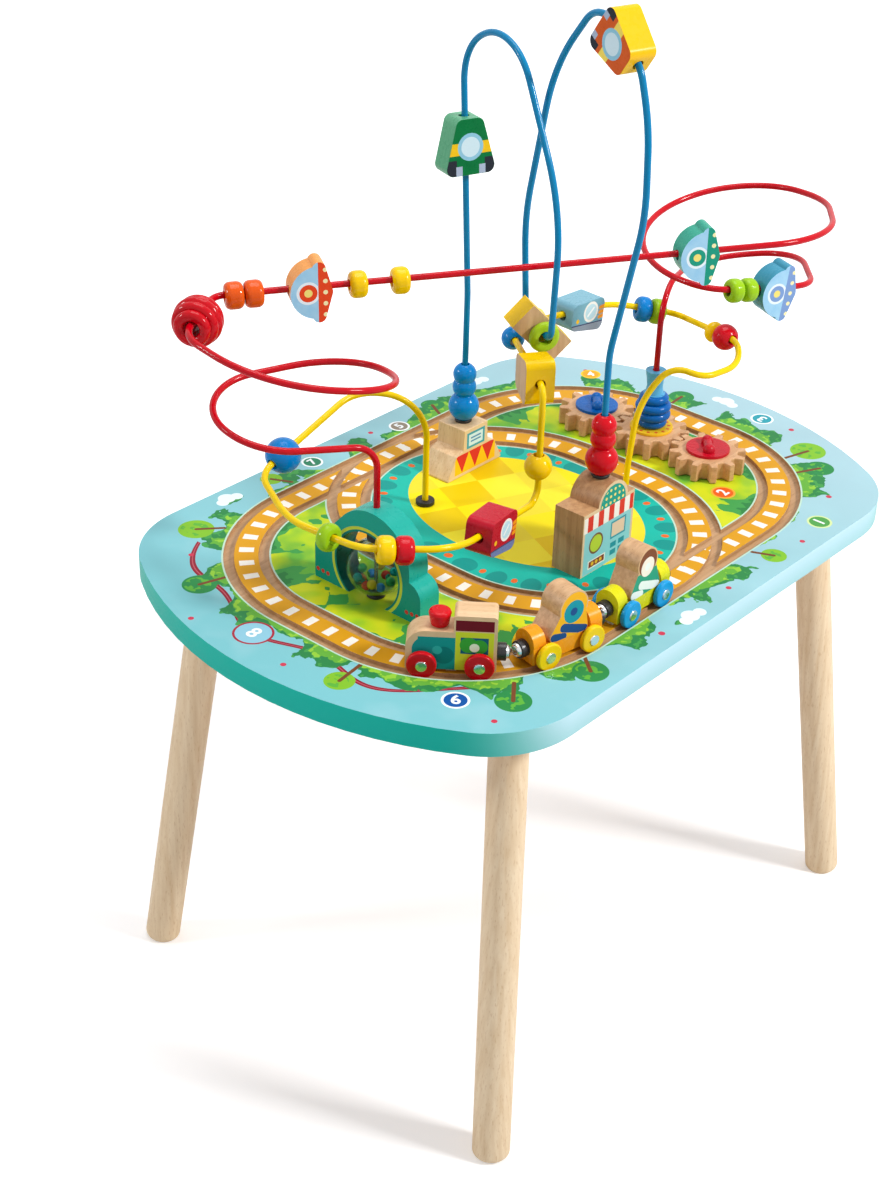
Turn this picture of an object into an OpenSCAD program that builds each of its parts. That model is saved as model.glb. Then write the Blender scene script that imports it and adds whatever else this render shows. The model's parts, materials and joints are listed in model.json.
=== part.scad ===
// Wooden train table: board with milled track, train, gears, blocks and three bent wires with beads.
// Frame: origin on the floor under the middle of the board, X along the board, Z up, millimetres.

/* [Table] */
// Length of the board over its bowed ends
table_length = 600; // [590:1:640]
// Width of the board
table_width = 396; // [390:1:430]
// Height of the playing surface above the floor
table_height = 390; // [330:1:460]
// Thickness of the board
board_thick = 19; // [17:0.5:26]
// Radius of the bowed ends
end_radius = 306; // [302:1:380]
// Radius of the board's corners
corner_radius = 78; // [60:1:90]

/* [Legs] */
// Diameter of a leg
leg_diameter = 29; // [24:0.5:36]
// Distance of a leg's top from the middle, along X
leg_top_x = 192; // [180:1:200]
// Distance of a leg's top from the middle, along Y
leg_top_y = 148; // [140:1:152]
// Outward lean of a leg along X, from board to floor
leg_spread_x = 43; // [20:1:60]
// Outward lean of a leg along Y, from board to floor
leg_spread_y = 37; // [15:1:50]
// Rounding of the foot
foot_round = 6; // [3:0.5:9]
// Diameter of the hanger bolt in a leg
leg_bolt_diameter = 8; // [6:0.5:10]

/* [Track] */
// Distance of the outer loop's end straights from the middle
track_x = 227; // [224:0.5:229]
// Distance of the outer loop's side straights from the middle
track_y = 145; // [143:0.5:146]
// Radius of the curves, to the middle of the track
curve_radius = 116; // [114:0.5:117]
// Distance between the two grooves of a track
gauge = 26.5; // [26:0.25:27]
// Width of a groove
groove_width = 8; // [7.6:0.1:9]
// Depth of a groove
groove_depth = 3.2; // [2.4:0.1:4.5]

/* [Train] */
// Diameter of a wheel
wheel_diameter = 21; // [19:0.5:23]
// Thickness of a wheel
wheel_thick = 4.4; // [3.6:0.1:4.8]
// Diameter of a wheel axle
wheel_axle = 4; // [3:0.25:5]
// Distance between the axles of a vehicle
wheelbase = 40; // [38:0.5:41]
// Width of the vehicle bodies
body_width = 20; // [17:0.5:20.5]
// Length of a vehicle body
body_length = 63; // [60:0.5:66]
// Height of the engine's boiler above the board
boiler_top = 33; // [30:0.5:36]
// Rounding of the boiler's front
nose_radius = 14; // [8:0.5:18]
// Height of the engine's cab above the board
cab_top = 46; // [42:0.5:52]
// Length of the engine's cab
cab_length = 30; // [24:0.5:31]
// Diameter of the chimney
chimney_diameter = 16; // [12:0.5:18]
// Height of the chimney over the boiler
chimney_height = 12; // [9:0.5:18]
// Height of a wagon's round ends above the board
wagon_top = 27; // [26:0.5:30]
// Height of a wagon's floor above the board
wagon_floor = 15; // [14.5:0.5:18]
// Length of a wagon's round ends
wagon_end = 11; // [9:0.5:12]
// Height of the upright shapes over the wagon floor
figure_height = 36; // [30:0.5:44]
// Diameter of a coupling magnet
magnet_diameter = 13; // [10:0.5:15]

/* [Gears] */
// Distance between neighbouring gear axles
gear_pitch = 57.6; // [57.6:0.1:58]
// Distance of the gear row from the middle of the table
gear_x = 169; // [166:0.5:172]
// Thickness of a gear
gear_thick = 15; // [12:0.5:18]
// Diameter of the disc on a gear
cap_diameter = 36; // [30:0.5:40]
// Diameter of a gear axle
gear_axle = 12; // [11:0.5:14]

/* [Blocks] */
// Thickness of the hill with the tunnel
hill_thick = 20; // [18:0.5:24]
// Radius of the tunnel opening
tunnel_radius = 30.5; // [29:0.5:32]
// Diameter of the rattle ball
rattle_diameter = 44; // [40:0.5:48]
// Thickness of the tent block
tent_thick = 28; // [26:0.5:34]
// Height of the tent block
tent_height = 40; // [36:0.5:46]
// Thickness of the stall block
stall_thick = 27; // [26:0.5:34]
// Height of the stall block at its shoulders
stall_height = 53; // [48:0.5:58]
// Radius of the hump on the stall block
hump_radius = 18; // [15:0.5:20]

/* [Wires and beads] */
// Diameter of a bent wire
wire_diameter = 5; // [4:0.25:5.5]
// Diameter of the hole through the small beads
bead_bore = 8; // [7.5:0.25:9]
// Diameter of the larger balls and barrels
ball_diameter = 21; // [19:0.5:22]
// Diameter of the ribbed ball
ribbed_ball = 36; // [32:0.5:38]
// Height of the dome plates across the wire
plate_height = 46; // [40:0.5:50]
// Thickness of the dome plates and the car blocks
plate_thick = 18; // [16:0.5:24]

/* [Fits] */
// Gap between a fixed peg or wire and its hole
press_gap = 0.05; // [0.02:0.01:0.08]
// Gap between a turning part and its axle
turn_gap = 0.1; // [0.06:0.01:0.1]
// Gap under a part that turns or slides on its seat
lift_gap = 0.4; // [0.3:0.05:0.6]
// Gap between parts that are glued or screwed face to face
seat_gap = 0.05; // [0.02:0.01:0.1]

/* [Hidden] */
$fn = 64;

top = table_height;
under = table_height - board_thick;
wire_r = wire_diameter / 2;
bore_r = bead_bore / 2;
ball_r = ball_diameter / 2;

// Outline of the board: corner and end arc centres in the positive quarter
end_x = table_length / 2 - end_radius;
corner_y = table_width / 2 - corner_radius;
corner_x = end_x + sqrt(pow(end_radius - corner_radius, 2) - pow(corner_y, 2));
end_half = atan2(corner_y, corner_x - end_x);
end_steps = 16;
corner_steps = 12;
function arc(cx, cy, r, a0, a1, n) = [for (i = [0 : n]) let (a = a0 + (a1 - a0) * i / n)
    [cx + r * cos(a), cy + r * sin(a)]];
function joined(lists) = [for (l = lists) for (p = l) p];
board_outline = joined([
    arc(end_x, 0, end_radius, -end_half, end_half, end_steps),
    arc(corner_x, corner_y, corner_radius, end_half + 3, 90, corner_steps),
    arc(-corner_x, corner_y, corner_radius, 90, 177 - end_half, corner_steps),
    arc(-end_x, 0, end_radius, 180 - end_half, 180 + end_half, end_steps),
    arc(-corner_x, -corner_y, corner_radius, 183 + end_half, 270, corner_steps),
    arc(corner_x, -corner_y, corner_radius, 270, 357 - end_half, corner_steps)
]);

// Legs: lean and length along the leg
leg_lean = atan2(norm([leg_spread_x, leg_spread_y]), under);
leg_turn = atan2(leg_spread_y, leg_spread_x);
leg_length = under / cos(leg_lean) + 1.3;
leg_r = leg_diameter / 2;
leg_bolt_r = leg_bolt_diameter / 2;
bolt_in_leg = 34;
bolt_in_board = 12;

// Track: centres of the outer curves, inner loop a touch tighter than the outer curves
curve_x = track_x - curve_radius;
curve_y = track_y - curve_radius;
inner_radius = curve_radius - 0.5;

// Train: the engine and the first wagon stand on a curve, the second wagon on a straight
wheel_r = wheel_diameter / 2;
wheel_z = wheel_r - groove_depth + 0.3;
axle_r = wheel_axle / 2;
body_under = 2.5;
seat_radius = sqrt(pow(curve_radius, 2) - pow(wheelbase / 2, 2));
engine_angle = 218.5;
wagon_one_angle = 259;
wagon_two_x = -51;
magnet_reach = 40.5;
magnet_r = magnet_diameter / 2;
magnet_z = 13;
chimney_x = body_length / 2 - 23;
chimney_r = chimney_diameter / 2;

// Gears: blunt teeth with play at the sides
gear_teeth = 12;
tooth_root = gear_pitch / 2 - 4.2;
tooth_tip = gear_pitch / 2 + 3;
root_half = 8.6;
tip_half = 4.6;
gear_base = top + lift_gap;
gear_top = gear_base + gear_thick;
cap_thick = 2.4;
axle_head_r = gear_axle / 2 + 4;
axle_head = 3;
gear_axle_r = gear_axle / 2;

// Wood screws from below
screw_r = 2;
screw_head_r = 4;
screw_head = 3;
screw_in_block = 14;

// Places of the blocks
hill_x = -gear_x;
tent_at = [30.5, 89.6];
stall_at = [-12, -80.5];
tunnel_z = 25;
rattle_r = rattle_diameter / 2;
rattle_pin_r = 1.5;
collar_high = 3;
tent_seat = top + tent_height + collar_high + seat_gap;
stall_seat = top + stall_height - 2 + hump_radius + collar_high + seat_gap;

screw_places = [
    [hill_x, 42], [hill_x, -42], [tent_at[0] - 22, tent_at[1]], [tent_at[0] + 22, tent_at[1]],
    [stall_at[0] - 22, stall_at[1]], [stall_at[0] + 16, stall_at[1]]
];

// Corners of the bent wires: place in the table's plan, height over the board, radius of the bend
high_path = [
    [hill_x, 0, 62, 0], [hill_x, 0, 122, 20], [-251, 35, 134, 43], [-246, 126, 149, 43],
    [-121, 72, 154, 53], [-152, -33, 169, 53], [-257, 17, 190, 84], [-253, 103, 200, 31],
    [-194, 135, 202, 14], [205, -131, 209, 75], [289, -70, 202, 68], [310, 20, 195, 68],
    [145, 75, 167, 85], [139, -63, 166, 29], [230, -101, 155, 32], [298, -45, 149, 49],
    [264, 34, 130, 48], [gear_x, 0, 140, 30], [gear_x, 0, gear_thick - 6, 0]
];
low_path = [
    [-40, 67, -12, 0], [-40, 67, 92, 39], [-80, 106, 99, 39], [-190, 97, 72, 25], [-214, 44, 64, 83],
    [-214, -26, 69, 24], [-160, -68, 62, 55], [-41, -45, 45, 12], [-41, -45, 138, 10],
    [28, 46, 136, 22], [150, 38, 122, 62], [194, 4, 110, 17], [168, -76, 118, 32], [146, -92, 110, 33],
    [108, -86, 110, 20], [98, -62, 116, 20], [80, -46, 86, 78], [72, -46, 30, 140], [72, -46, -12, 0]
];
// The tall wire lies near the upright plane through the two skittles: along, out of plane, height, radius
tall_line = [
    [0, 0, 18, 0], [0, 0, 150, 140], [-13, 2, 343, 43], [52, 5, 377, 45], [121, 8, 257, 140],
    [117, 8, 157, 9], [66, -7, 158, 9], [58, -8, 232, 140], [86, -6, 352, 140], [128, -3, 401, 27],
    [150, -1, 402, 25], [185, 0, 377, 28], [198, 0, 341, 140], [202, 0, 278, 140], [0, 0, 168, 80],
    [0, 0, 50, 0]
];
tall_way = (stall_at - tent_at) / norm(stall_at - tent_at);
tall_run = norm(stall_at - tent_at);
tall_out = [tall_way[1], -tall_way[0]];
function tall_point(q, i) = let (s = i < 14 ? q[0] : q[0] + tall_run)
    [tent_at[0] + s * tall_way[0] + q[1] * tall_out[0],
     tent_at[1] + s * tall_way[1] + q[1] * tall_out[1], q[2], q[3]];
tall_path = [for (i = [0 : len(tall_line) - 1]) tall_point(tall_line[i], i)];

// Geometry of a bent wire
lap = 0.4;
function spot(w, i) = [w[i][0], w[i][1], top + w[i][2]];
function unit(v) = v / norm(v);
function way(w, i) = unit(spot(w, i + 1) - spot(w, i));
function inner(w, i) = i > 0 && i < len(w) - 1;
function bend(w, i) = acos(max(-1, min(1, way(w, i - 1) * way(w, i))));
function cut(w, i) = inner(w, i) ? w[i][3] * tan(bend(w, i) / 2) : 0;
function from(w, i) = spot(w, i) + way(w, i) * (cut(w, i) - (i > 0 ? lap : 0));
function to(w, i) = spot(w, i + 1) - way(w, i) * (cut(w, i + 1) - (i < len(w) - 2 ? lap : 0));
function side(d) = abs(d[2]) > 0.95 ? unit(cross([1, 0, 0], d)) : unit(cross([0, 0, 1], d));
function rows(x, y, z, p) = [[x[0], y[0], z[0], p[0]], [x[1], y[1], z[1], p[1]],
    [x[2], y[2], z[2], p[2]], [0, 0, 0, 1]];
function hang(b) = b - wire_r - lift_gap;

module wire(w) {
    for (i = [0 : len(w) - 2]) {
        d = way(w, i);
        multmatrix(rows(side(d), cross(d, side(d)), d, from(w, i)))
            cylinder(h = norm(to(w, i) - from(w, i)), r = wire_r - 0.02);
    }
    for (i = [1 : len(w) - 2]) {
        d = way(w, i - 1);
        n = unit(way(w, i) - d * (d * way(w, i)));
        multmatrix(rows(-n, d, cross(-n, d), spot(w, i) - d * cut(w, i) + n * w[i][3]))
            rotate_extrude(angle = bend(w, i))
                translate([w[i][3], 0])
                    circle(r = wire_r);
    }
}

// Puts a bead on straight i of a wire, its X along the wire and its Z as upright as the wire allows
module strung(w, i, along, drop) {
    d = way(w, i);
    y = side(d);
    z = cross(d, y);
    multmatrix(rows(d, y, z, spot(w, i) + d * along - z * drop))
        children();
}

// Puts a bead on a steep straight of the tall wire, its Y out of the wire's plane
module strung_tall(i, along, drop) {
    d = way(tall_path, i);
    o = [tall_out[0], tall_out[1], 0];
    y = unit(o - d * (o * d));
    z = cross(d, y);
    multmatrix(rows(d, y, z, spot(tall_path, i) + d * along - z * drop))
        children();
}

module bore(long, r) {
    rotate([0, 90, 0])
        cylinder(h = long, r = r, center = true);
}

module barrel(long, r, b) {
    h = long / 2;
    e = min(1, (h - 0.1) / 4.4);
    rotate([0, 90, 0])
        rotate_extrude()
            polygon([[b, -h], [r - 3.6, -h], [r - 2, 0.5 * e - h], [r - 0.8, 1.7 * e - h],
                [r - 0.2, 3.2 * e - h], [r, 4.4 * e - h], [r, h - 4.4 * e], [r - 0.2, h - 3.2 * e],
                [r - 0.8, h - 1.7 * e], [r - 2, h - 0.5 * e], [r - 3.6, h], [b, h]]);
}

module ball(r, b) {
    rotate([0, 90, 0])
        rotate_extrude()
            intersection() {
                circle(r = r);
                translate([b, -r])
                    square([r, 2 * r]);
            }
}

module dome_plate(b) {
    difference() {
        rotate([90, 0, 0])
            linear_extrude(plate_thick, center = true)
                union() {
                    intersection() {
                        translate([4, 0])
                            circle(r = plate_height / 2 - 3);
                        translate([-40, -40])
                            square([44, 80]);
                    }
                    hull() {
                        for (s = [-1, 1])
                            translate([5, s * (plate_height / 2 - 5)])
                                circle(r = 5, $fn = 32);
                        translate([9, 0])
                            circle(r = 6, $fn = 32);
                    }
                }
        bore(80, b);
    }
}

// Block with rounded corners that widens along the wire
module car_block(long, narrow, wide, b) {
    difference() {
        rotate([90, 0, 0])
            linear_extrude(plate_thick + 4, center = true)
                hull()
                    for (s = [-1, 1]) {
                        translate([-long / 2 + 6, s * (narrow / 2 - 6)])
                            circle(r = 6, $fn = 32);
                        translate([long / 2 - 6, s * (wide / 2 - 6)])
                            circle(r = 6, $fn = 32);
                    }
        bore(80, b);
    }
}

module tabletop() {
    color("LightSkyBlue")
        difference() {
            translate([0, 0, under])
                linear_extrude(board_thick)
                    polygon(board_outline);
            translate([0, 0, top - groove_depth])
                grooves();
            board_holes();
        }
}

// Both rails of the outer and the inner loop
module grooves() {
    for (side = [-1, 1]) {
        for (q = [0 : 3])
            translate([(q == 0 || q == 3 ? 1 : -1) * curve_x, (q < 2 ? 1 : -1) * curve_y, 0])
                rotate([0, 0, q * 90])
                    rail(curve_radius + side * gauge / 2, 90);
        for (m = [-1, 1]) {
            straight(2 * curve_x, 0, m * (track_y + side * gauge / 2), 0);
            straight(2 * curve_y, m * (track_x + side * gauge / 2), 0, 90);
            straight(2 * curve_y, m * (inner_radius + side * gauge / 2), 0, 90);
            translate([0, m * curve_y, 0])
                rotate([0, 0, m > 0 ? 0 : 180])
                    rail(inner_radius + side * gauge / 2, 180);
        }
    }
}

module rail(r, turn) {
    rotate_extrude(angle = turn)
        translate([r - groove_width / 2, 0])
            square([groove_width, groove_depth + 1]);
}

module straight(long, x, y, turn) {
    translate([x, y, 0])
        rotate([0, 0, turn])
            translate([-long / 2, -groove_width / 2, 0])
                cube([long, groove_width, groove_depth + 1]);
}

module board_holes() {
    for (mx = [-1, 1])
        for (my = [-1, 1])
            at_leg(mx, my)
                translate([0, 0, -4])
                    cylinder(h = bolt_in_board + 4.5, r = leg_bolt_r + press_gap);
    for (p = screw_places) {
        translate([p[0], p[1], under - 1])
            cylinder(h = board_thick + 2, r = screw_r + press_gap);
        translate([p[0], p[1], under - 1])
            cylinder(h = screw_head + 1.5, r = screw_head_r + 0.3);
    }
    for (y = [-1, 0, 1])
        translate([gear_x, y * gear_pitch, top - 12.5])
            cylinder(h = 14, r = gear_axle_r + press_gap);
    translate([hill_x, 0, top - 8.5])
        cylinder(h = 10, r = rattle_pin_r + press_gap);
    for (i = [0, len(low_path) - 1])
        translate([low_path[i][0], low_path[i][1], top - 12.5])
            cylinder(h = 14, r = wire_r + press_gap);
}

module at_leg(mx, my) {
    mirror([mx < 0 ? 1 : 0, 0, 0])
        mirror([0, my < 0 ? 1 : 0, 0])
            translate([leg_top_x, leg_top_y, under])
                rotate([0, 0, leg_turn])
                    rotate([0, -leg_lean, 0])
                        children();
}

module leg(mx, my) {
    color("BurlyWood")
        difference() {
            at_leg(mx, my)
                translate([0, 0, -leg_length])
                    rotate_extrude()
                        polygon(joined([[[0, 0]],
                            arc(leg_r - foot_round, foot_round, foot_round, -90, 0, 6),
                            [[leg_r, leg_length + 6], [0, leg_length + 6]]]));
            at_leg(mx, my)
                translate([0, 0, -bolt_in_leg - 0.5])
                    cylinder(h = bolt_in_leg + 20, r = leg_bolt_r + press_gap);
            translate([-400, -400, under - seat_gap])
                cube([800, 800, 40]);
            translate([-400, -400, -40])
                cube([800, 800, 40]);
        }
}

module leg_front_left() {
    leg(-1, 1);
}

module leg_front_right() {
    leg(-1, -1);
}

module leg_back_left() {
    leg(1, 1);
}

module leg_back_right() {
    leg(1, -1);
}

module fixings() {
    color("Silver") {
        for (mx = [-1, 1])
            for (my = [-1, 1])
                at_leg(mx, my)
                    translate([0, 0, -bolt_in_leg])
                        cylinder(h = bolt_in_leg + bolt_in_board, r = leg_bolt_r);
        for (p = screw_places)
            translate([p[0], p[1], under]) {
                cylinder(h = board_thick + screw_in_block, r = screw_r);
                translate([0, 0, 0.1])
                    cylinder(h = screw_head, r = screw_head_r);
            }
    }
}

// Screw holes in the foot of a block
module block_holes() {
    for (p = screw_places)
        translate([p[0], p[1], top - 1])
            cylinder(h = screw_in_block + 1.5, r = screw_r + press_gap);
}

module hill_block() {
    color("Turquoise")
        difference() {
            translate([hill_x, 0, top + seat_gap])
                rotate([90, 0, 90])
                    linear_extrude(hill_thick, center = true)
                        union() {
                            hull() {
                                translate([-4, 37])
                                    circle(r = 37);
                                translate([40, 26])
                                    circle(r = 12);
                                translate([-38, 0])
                                    square([90, 4]);
                            }
                            hull() {
                                translate([-39, 19])
                                    circle(r = 13);
                                translate([-52, 0])
                                    square([30, 4]);
                            }
                        }
            translate([hill_x, 0, top + tunnel_z])
                bore(hill_thick + 2, tunnel_radius);
            translate([hill_x, 0, top + tunnel_z])
                cylinder(h = tunnel_radius + 3.5, r = rattle_pin_r + press_gap);
            translate([hill_x, 0, top + high_path[0][2] - 0.5])
                cylinder(h = 40, r = wire_r + press_gap);
            block_holes();
        }
}

module tent_block() {
    color("Khaki")
        difference() {
            translate([tent_at[0], tent_at[1], top + seat_gap])
                rotate([90, 0, 0])
                    linear_extrude(tent_thick, center = true)
                        polygon([[-33, 0], [33, 0], [33, 2], [23.5, 19.5], [15.2, 22.5],
                            [14.2, tent_height], [-14.2, tent_height], [-15.2, 22.5], [-23.5, 19.5],
                            [-33, 2]]);
            translate([tent_at[0], tent_at[1], top + tall_line[0][2] - 0.5])
                cylinder(h = 60, r = wire_r + press_gap);
            block_holes();
        }
}

module stall_block() {
    color("LightCoral")
        difference() {
            translate([stall_at[0], stall_at[1], top + seat_gap])
                rotate([90, 0, 0])
                    linear_extrude(stall_thick, center = true)
                        union() {
                            translate([-35, 0])
                                square([62, stall_height]);
                            translate([0, stall_height - 2])
                                circle(r = hump_radius);
                        }
            translate([stall_at[0], stall_at[1], top + stall_height - 3.5])
                cylinder(h = 60, r = wire_r + press_gap);
            block_holes();
        }
}

module ring(x, y, z, high, r, b) {
    translate([x, y, z])
        difference() {
            cylinder(h = high, r = r);
            translate([0, 0, -1])
                cylinder(h = high + 2, r = b);
        }
}

module rubber_collars() {
    color("DimGray") {
        ring(tent_at[0], tent_at[1], top + tent_height + 2 * seat_gap, collar_high - lift_gap, 7,
            wire_r + press_gap);
        ring(stall_at[0], stall_at[1], stall_seat - collar_high + seat_gap, collar_high - lift_gap, 7,
            wire_r + press_gap);
        for (i = [0, len(low_path) - 1])
            ring(low_path[i][0], low_path[i][1], top + seat_gap, 4, 7.5, wire_r + press_gap);
        ring(hill_x, 0, top + seat_gap, tunnel_z - rattle_r - lift_gap, 7, rattle_pin_r + press_gap);
        ring(hill_x, 0, top + tunnel_z + rattle_r + lift_gap,
            sqrt(pow(tunnel_radius, 2) - 49) - rattle_r - 2 * lift_gap, 7, rattle_pin_r + press_gap);
    }
}

module axle_pins() {
    color("Gainsboro") {
        for (y = [-1, 0, 1])
            difference() {
                translate([gear_x, y * gear_pitch, 0]) {
                    translate([0, 0, top - 12])
                        cylinder(h = gear_base + gear_thick - top + 12 - lift_gap, r = gear_axle_r);
                    translate([0, 0, gear_top - lift_gap - axle_head])
                        cylinder(h = axle_head, r = axle_head_r);
                }
                if (y == 0)
                    translate([gear_x, 0, top + gear_thick - 6.5])
                        cylinder(h = 20, r = wire_r + press_gap);
            }
        translate([hill_x, 0, top - 8])
            cylinder(h = 8 + tunnel_z + tunnel_radius + 3, r = rattle_pin_r);
    }
}

module high_wire() {
    color("Crimson")
        wire(high_path);
}

module low_wire() {
    color("Gold")
        wire(low_path);
}

module tall_wire() {
    color("RoyalBlue")
        wire(tall_path);
}

module rattle_ball() {
    color("AliceBlue")
        translate([hill_x, 0, top + tunnel_z])
            difference() {
                sphere(r = rattle_r);
                sphere(r = rattle_r - 2);
                cylinder(h = 2 * rattle_r + 2, r = rattle_pin_r + turn_gap, center = true);
            }
}

module rattle_beads() {
    color("OrangeRed")
        translate([hill_x, 0, top + tunnel_z])
            for (k = [0 : 5]) {
                rotate([0, 0, 60 * k])
                    translate([10.5, 0, 6.3 - rattle_r + 3.5])
                        sphere(r = 3.5);
                rotate([0, 0, 60 * k + 30])
                    translate([14, 0, 11.2 - rattle_r + 3.5])
                        sphere(r = 3.5);
            }
}

// Gear on its axle, with a recess for the axle's head; phase turns the teeth
module gear(y, phase) {
    translate([gear_x, y, gear_base])
        difference() {
            rotate([0, 0, phase])
                linear_extrude(gear_thick)
                    polygon([for (i = [0 : gear_teeth - 1])
                        for (c = [[tooth_root, -root_half], [tooth_tip, -tip_half],
                            [tooth_tip, tip_half], [tooth_root, root_half]])
                            let (a = i * 360 / gear_teeth + c[1])
                                [c[0] * cos(a), c[0] * sin(a)]]);
            translate([0, 0, -1])
                cylinder(h = gear_thick + 2, r = gear_axle_r + turn_gap);
            translate([0, 0, gear_thick - axle_head - 2 * lift_gap])
                cylinder(h = 20, r = axle_head_r + 1);
        }
}

module gear_blue() {
    color("RoyalBlue")
        gear(gear_pitch, 15);
}

module gear_middle() {
    color("Orange")
        gear(0, 0);
}

module gear_red() {
    color("Crimson")
        gear(-gear_pitch, 15);
}

module grip_cap(y) {
    translate([gear_x, y, gear_top + seat_gap]) {
        cylinder(h = cap_thick, r = cap_diameter / 2);
        translate([0, 0, cap_thick + 1.5])
            rotate([0, 0, 40]) {
                rotate([0, 90, 0])
                    cylinder(h = 16, r = 3.6, center = true);
                for (s = [-1, 1])
                    translate([s * 8, 0, 0])
                        difference() {
                            sphere(r = 5);
                            translate([-10, -10, -12.5])
                                cube([20, 20, 10]);
                        }
            }
    }
}

module cap_blue() {
    color("DodgerBlue")
        grip_cap(gear_pitch);
}

module cap_red() {
    color("Tomato")
        grip_cap(-gear_pitch);
}

module cap_yellow() {
    color("Yellow")
        translate([gear_x, 0, gear_top + seat_gap])
            difference() {
                cylinder(h = cap_thick, r = cap_diameter / 2);
                translate([0, 0, -1])
                    cylinder(h = 20, r = bore_r);
            }
}

// Bottle: ribbed bulb and a flaring neck
module bottle() {
    color("SteelBlue")
        translate([gear_x, 0, gear_top + seat_gap + cap_thick + lift_gap])
            rotate_extrude()
                difference() {
                    union() {
                        for (rib = [[8.5, 4], [11, 11], [11, 18], [8.5, 25]])
                            translate(rib)
                                circle(r = 4);
                        square([9, 29.5]);
                        polygon([[0, 28], [8, 28], [6.6, 36], [7.2, 42], [8.6, 50], [0, 50]]);
                    }
                    translate([-20, -5])
                        square([20 + bore_r - 1, 60]);
                }
}

module skittle(at, seat) {
    translate([at[0], at[1], seat])
        difference() {
            union() {
                translate([0, 0, 10.5])
                    sphere(r = 12.4);
                translate([0, 0, 27.5])
                    sphere(r = 9.6);
                translate([0, 0, 38.5])
                    sphere(r = 9.4);
            }
            translate([0, 0, -1])
                cylinder(h = 60, r = 3.2);
            translate([-20, -20, -20])
                cube([40, 40, 20]);
        }
}

module blue_skittle() {
    color("RoyalBlue")
        skittle(tent_at, tent_seat);
}

module red_skittle() {
    color("Crimson")
        skittle(stall_at, stall_seat);
}

// Places a vehicle: X forward along the track, Y to its left, Z from the board's surface
module on_curve(a) {
    translate([-curve_x, -curve_y, top])
        rotate([0, 0, a])
            translate([seat_radius, 0, 0])
                rotate([0, 0, -90])
                    children();
}

module on_straight() {
    translate([wagon_two_x, -track_y, top])
        rotate([0, 0, 180])
            children();
}

module wheelset(s) {
    w = wheel_thick / 2;
    g = gauge / 2;
    end = [[wheel_r - 0.8, -w], [wheel_r, 0.8 - w], [wheel_r, w - 0.8], [wheel_r - 0.8, w], [4, w],
        [4, w + 1], [0, w + 1]];
    translate([s * wheelbase / 2, 0, wheel_z])
        rotate([90, 0, 0])
            rotate_extrude()
                polygon(concat([[0, -g - w - 1], [4, -g - w - 1], [4, -g - w], [wheel_r - 0.8, -g - w],
                    [wheel_r, 0.8 - g - w], [wheel_r, w - g - 0.8], [wheel_r - 0.8, w - g],
                    [axle_r, w - g], [axle_r, g - w]], [for (p = end) [p[0], p[1] + g]]));
}

module axle_bores() {
    for (s = [-1, 1])
        translate([s * wheelbase / 2, 0, wheel_z])
            rotate([90, 0, 0])
                cylinder(h = 60, r = axle_r + turn_gap, center = true);
}

// Coupling magnet: peg, housing and domed magnet, X pointing out of the vehicle
module magnet() {
    out = magnet_reach - body_length / 2;
    translate([body_length / 2 + seat_gap, 0, magnet_z])
        rotate([0, 90, 0])
            rotate_extrude()
                polygon([[0, -6], [3, -6], [3, 0], [magnet_r, 0], [magnet_r, out - 2.6],
                    [magnet_r - 1.5, out - 2.6], [magnet_r - 1.8, out - 1], [magnet_r - 3.2, out],
                    [0, out]]);
}

module magnet_hole() {
    translate([body_length / 2, 0, magnet_z])
        bore(13, 3 + press_gap);
}

module engine_body() {
    cab_front = cab_length - body_length / 2;
    color("RoyalBlue")
        on_curve(engine_angle)
            difference() {
                rotate([90, 0, 0])
                    linear_extrude(body_width, center = true)
                        polygon(joined([[[-body_length / 2, body_under], [body_length / 2, body_under]],
                            arc(body_length / 2 - nose_radius, boiler_top - nose_radius, nose_radius, 0, 90, 8),
                            [[cab_front, boiler_top]],
                            arc(cab_front - 3, cab_top - 3, 3, 0, 90, 5),
                            arc(3 - body_length / 2, cab_top - 3, 3, 90, 180, 5)]));
                axle_bores();
                mirror([1, 0, 0])
                    magnet_hole();
                translate([chimney_x, 0, boiler_top - 8.5])
                    cylinder(h = 20, r = 5 + press_gap);
            }
}

module engine_chimney() {
    color("Crimson")
        on_curve(engine_angle)
            translate([chimney_x, 0, boiler_top + seat_gap]) {
                translate([0, 0, -8])
                    cylinder(h = 12, r = 5);
                rotate_extrude()
                    polygon([[0, 0], [chimney_r - 2.4, 0], [chimney_r - 1.7, 0.8],
                        [chimney_r, chimney_height - 2.4], [chimney_r - 0.8, chimney_height - 0.7],
                        [chimney_r - 2.4, chimney_height], [0, chimney_height]]);
            }
}

module engine_front_wheels() {
    color("Crimson")
        on_curve(engine_angle)
            wheelset(1);
}

module engine_rear_wheels() {
    color("Crimson")
        on_curve(engine_angle)
            wheelset(-1);
}

module engine_magnets() {
    color("DimGray")
        on_curve(engine_angle)
            mirror([1, 0, 0])
                magnet();
}

module wagon_base() {
    r = body_width / 2;
    difference() {
        union() {
            translate([-body_length / 2, -r, body_under])
                cube([body_length, body_width, wagon_floor - body_under]);
            for (s = [-1, 1])
                translate([s * (body_length - wagon_end) / 2, 0, wagon_top - r])
                    bore(wagon_end, r);
        }
        axle_bores();
        magnet_hole();
        mirror([1, 0, 0])
            magnet_hole();
        translate([0, 0, wagon_floor - 8.5])
            cylinder(h = 20, r = 3.5 + press_gap);
    }
}

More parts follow.
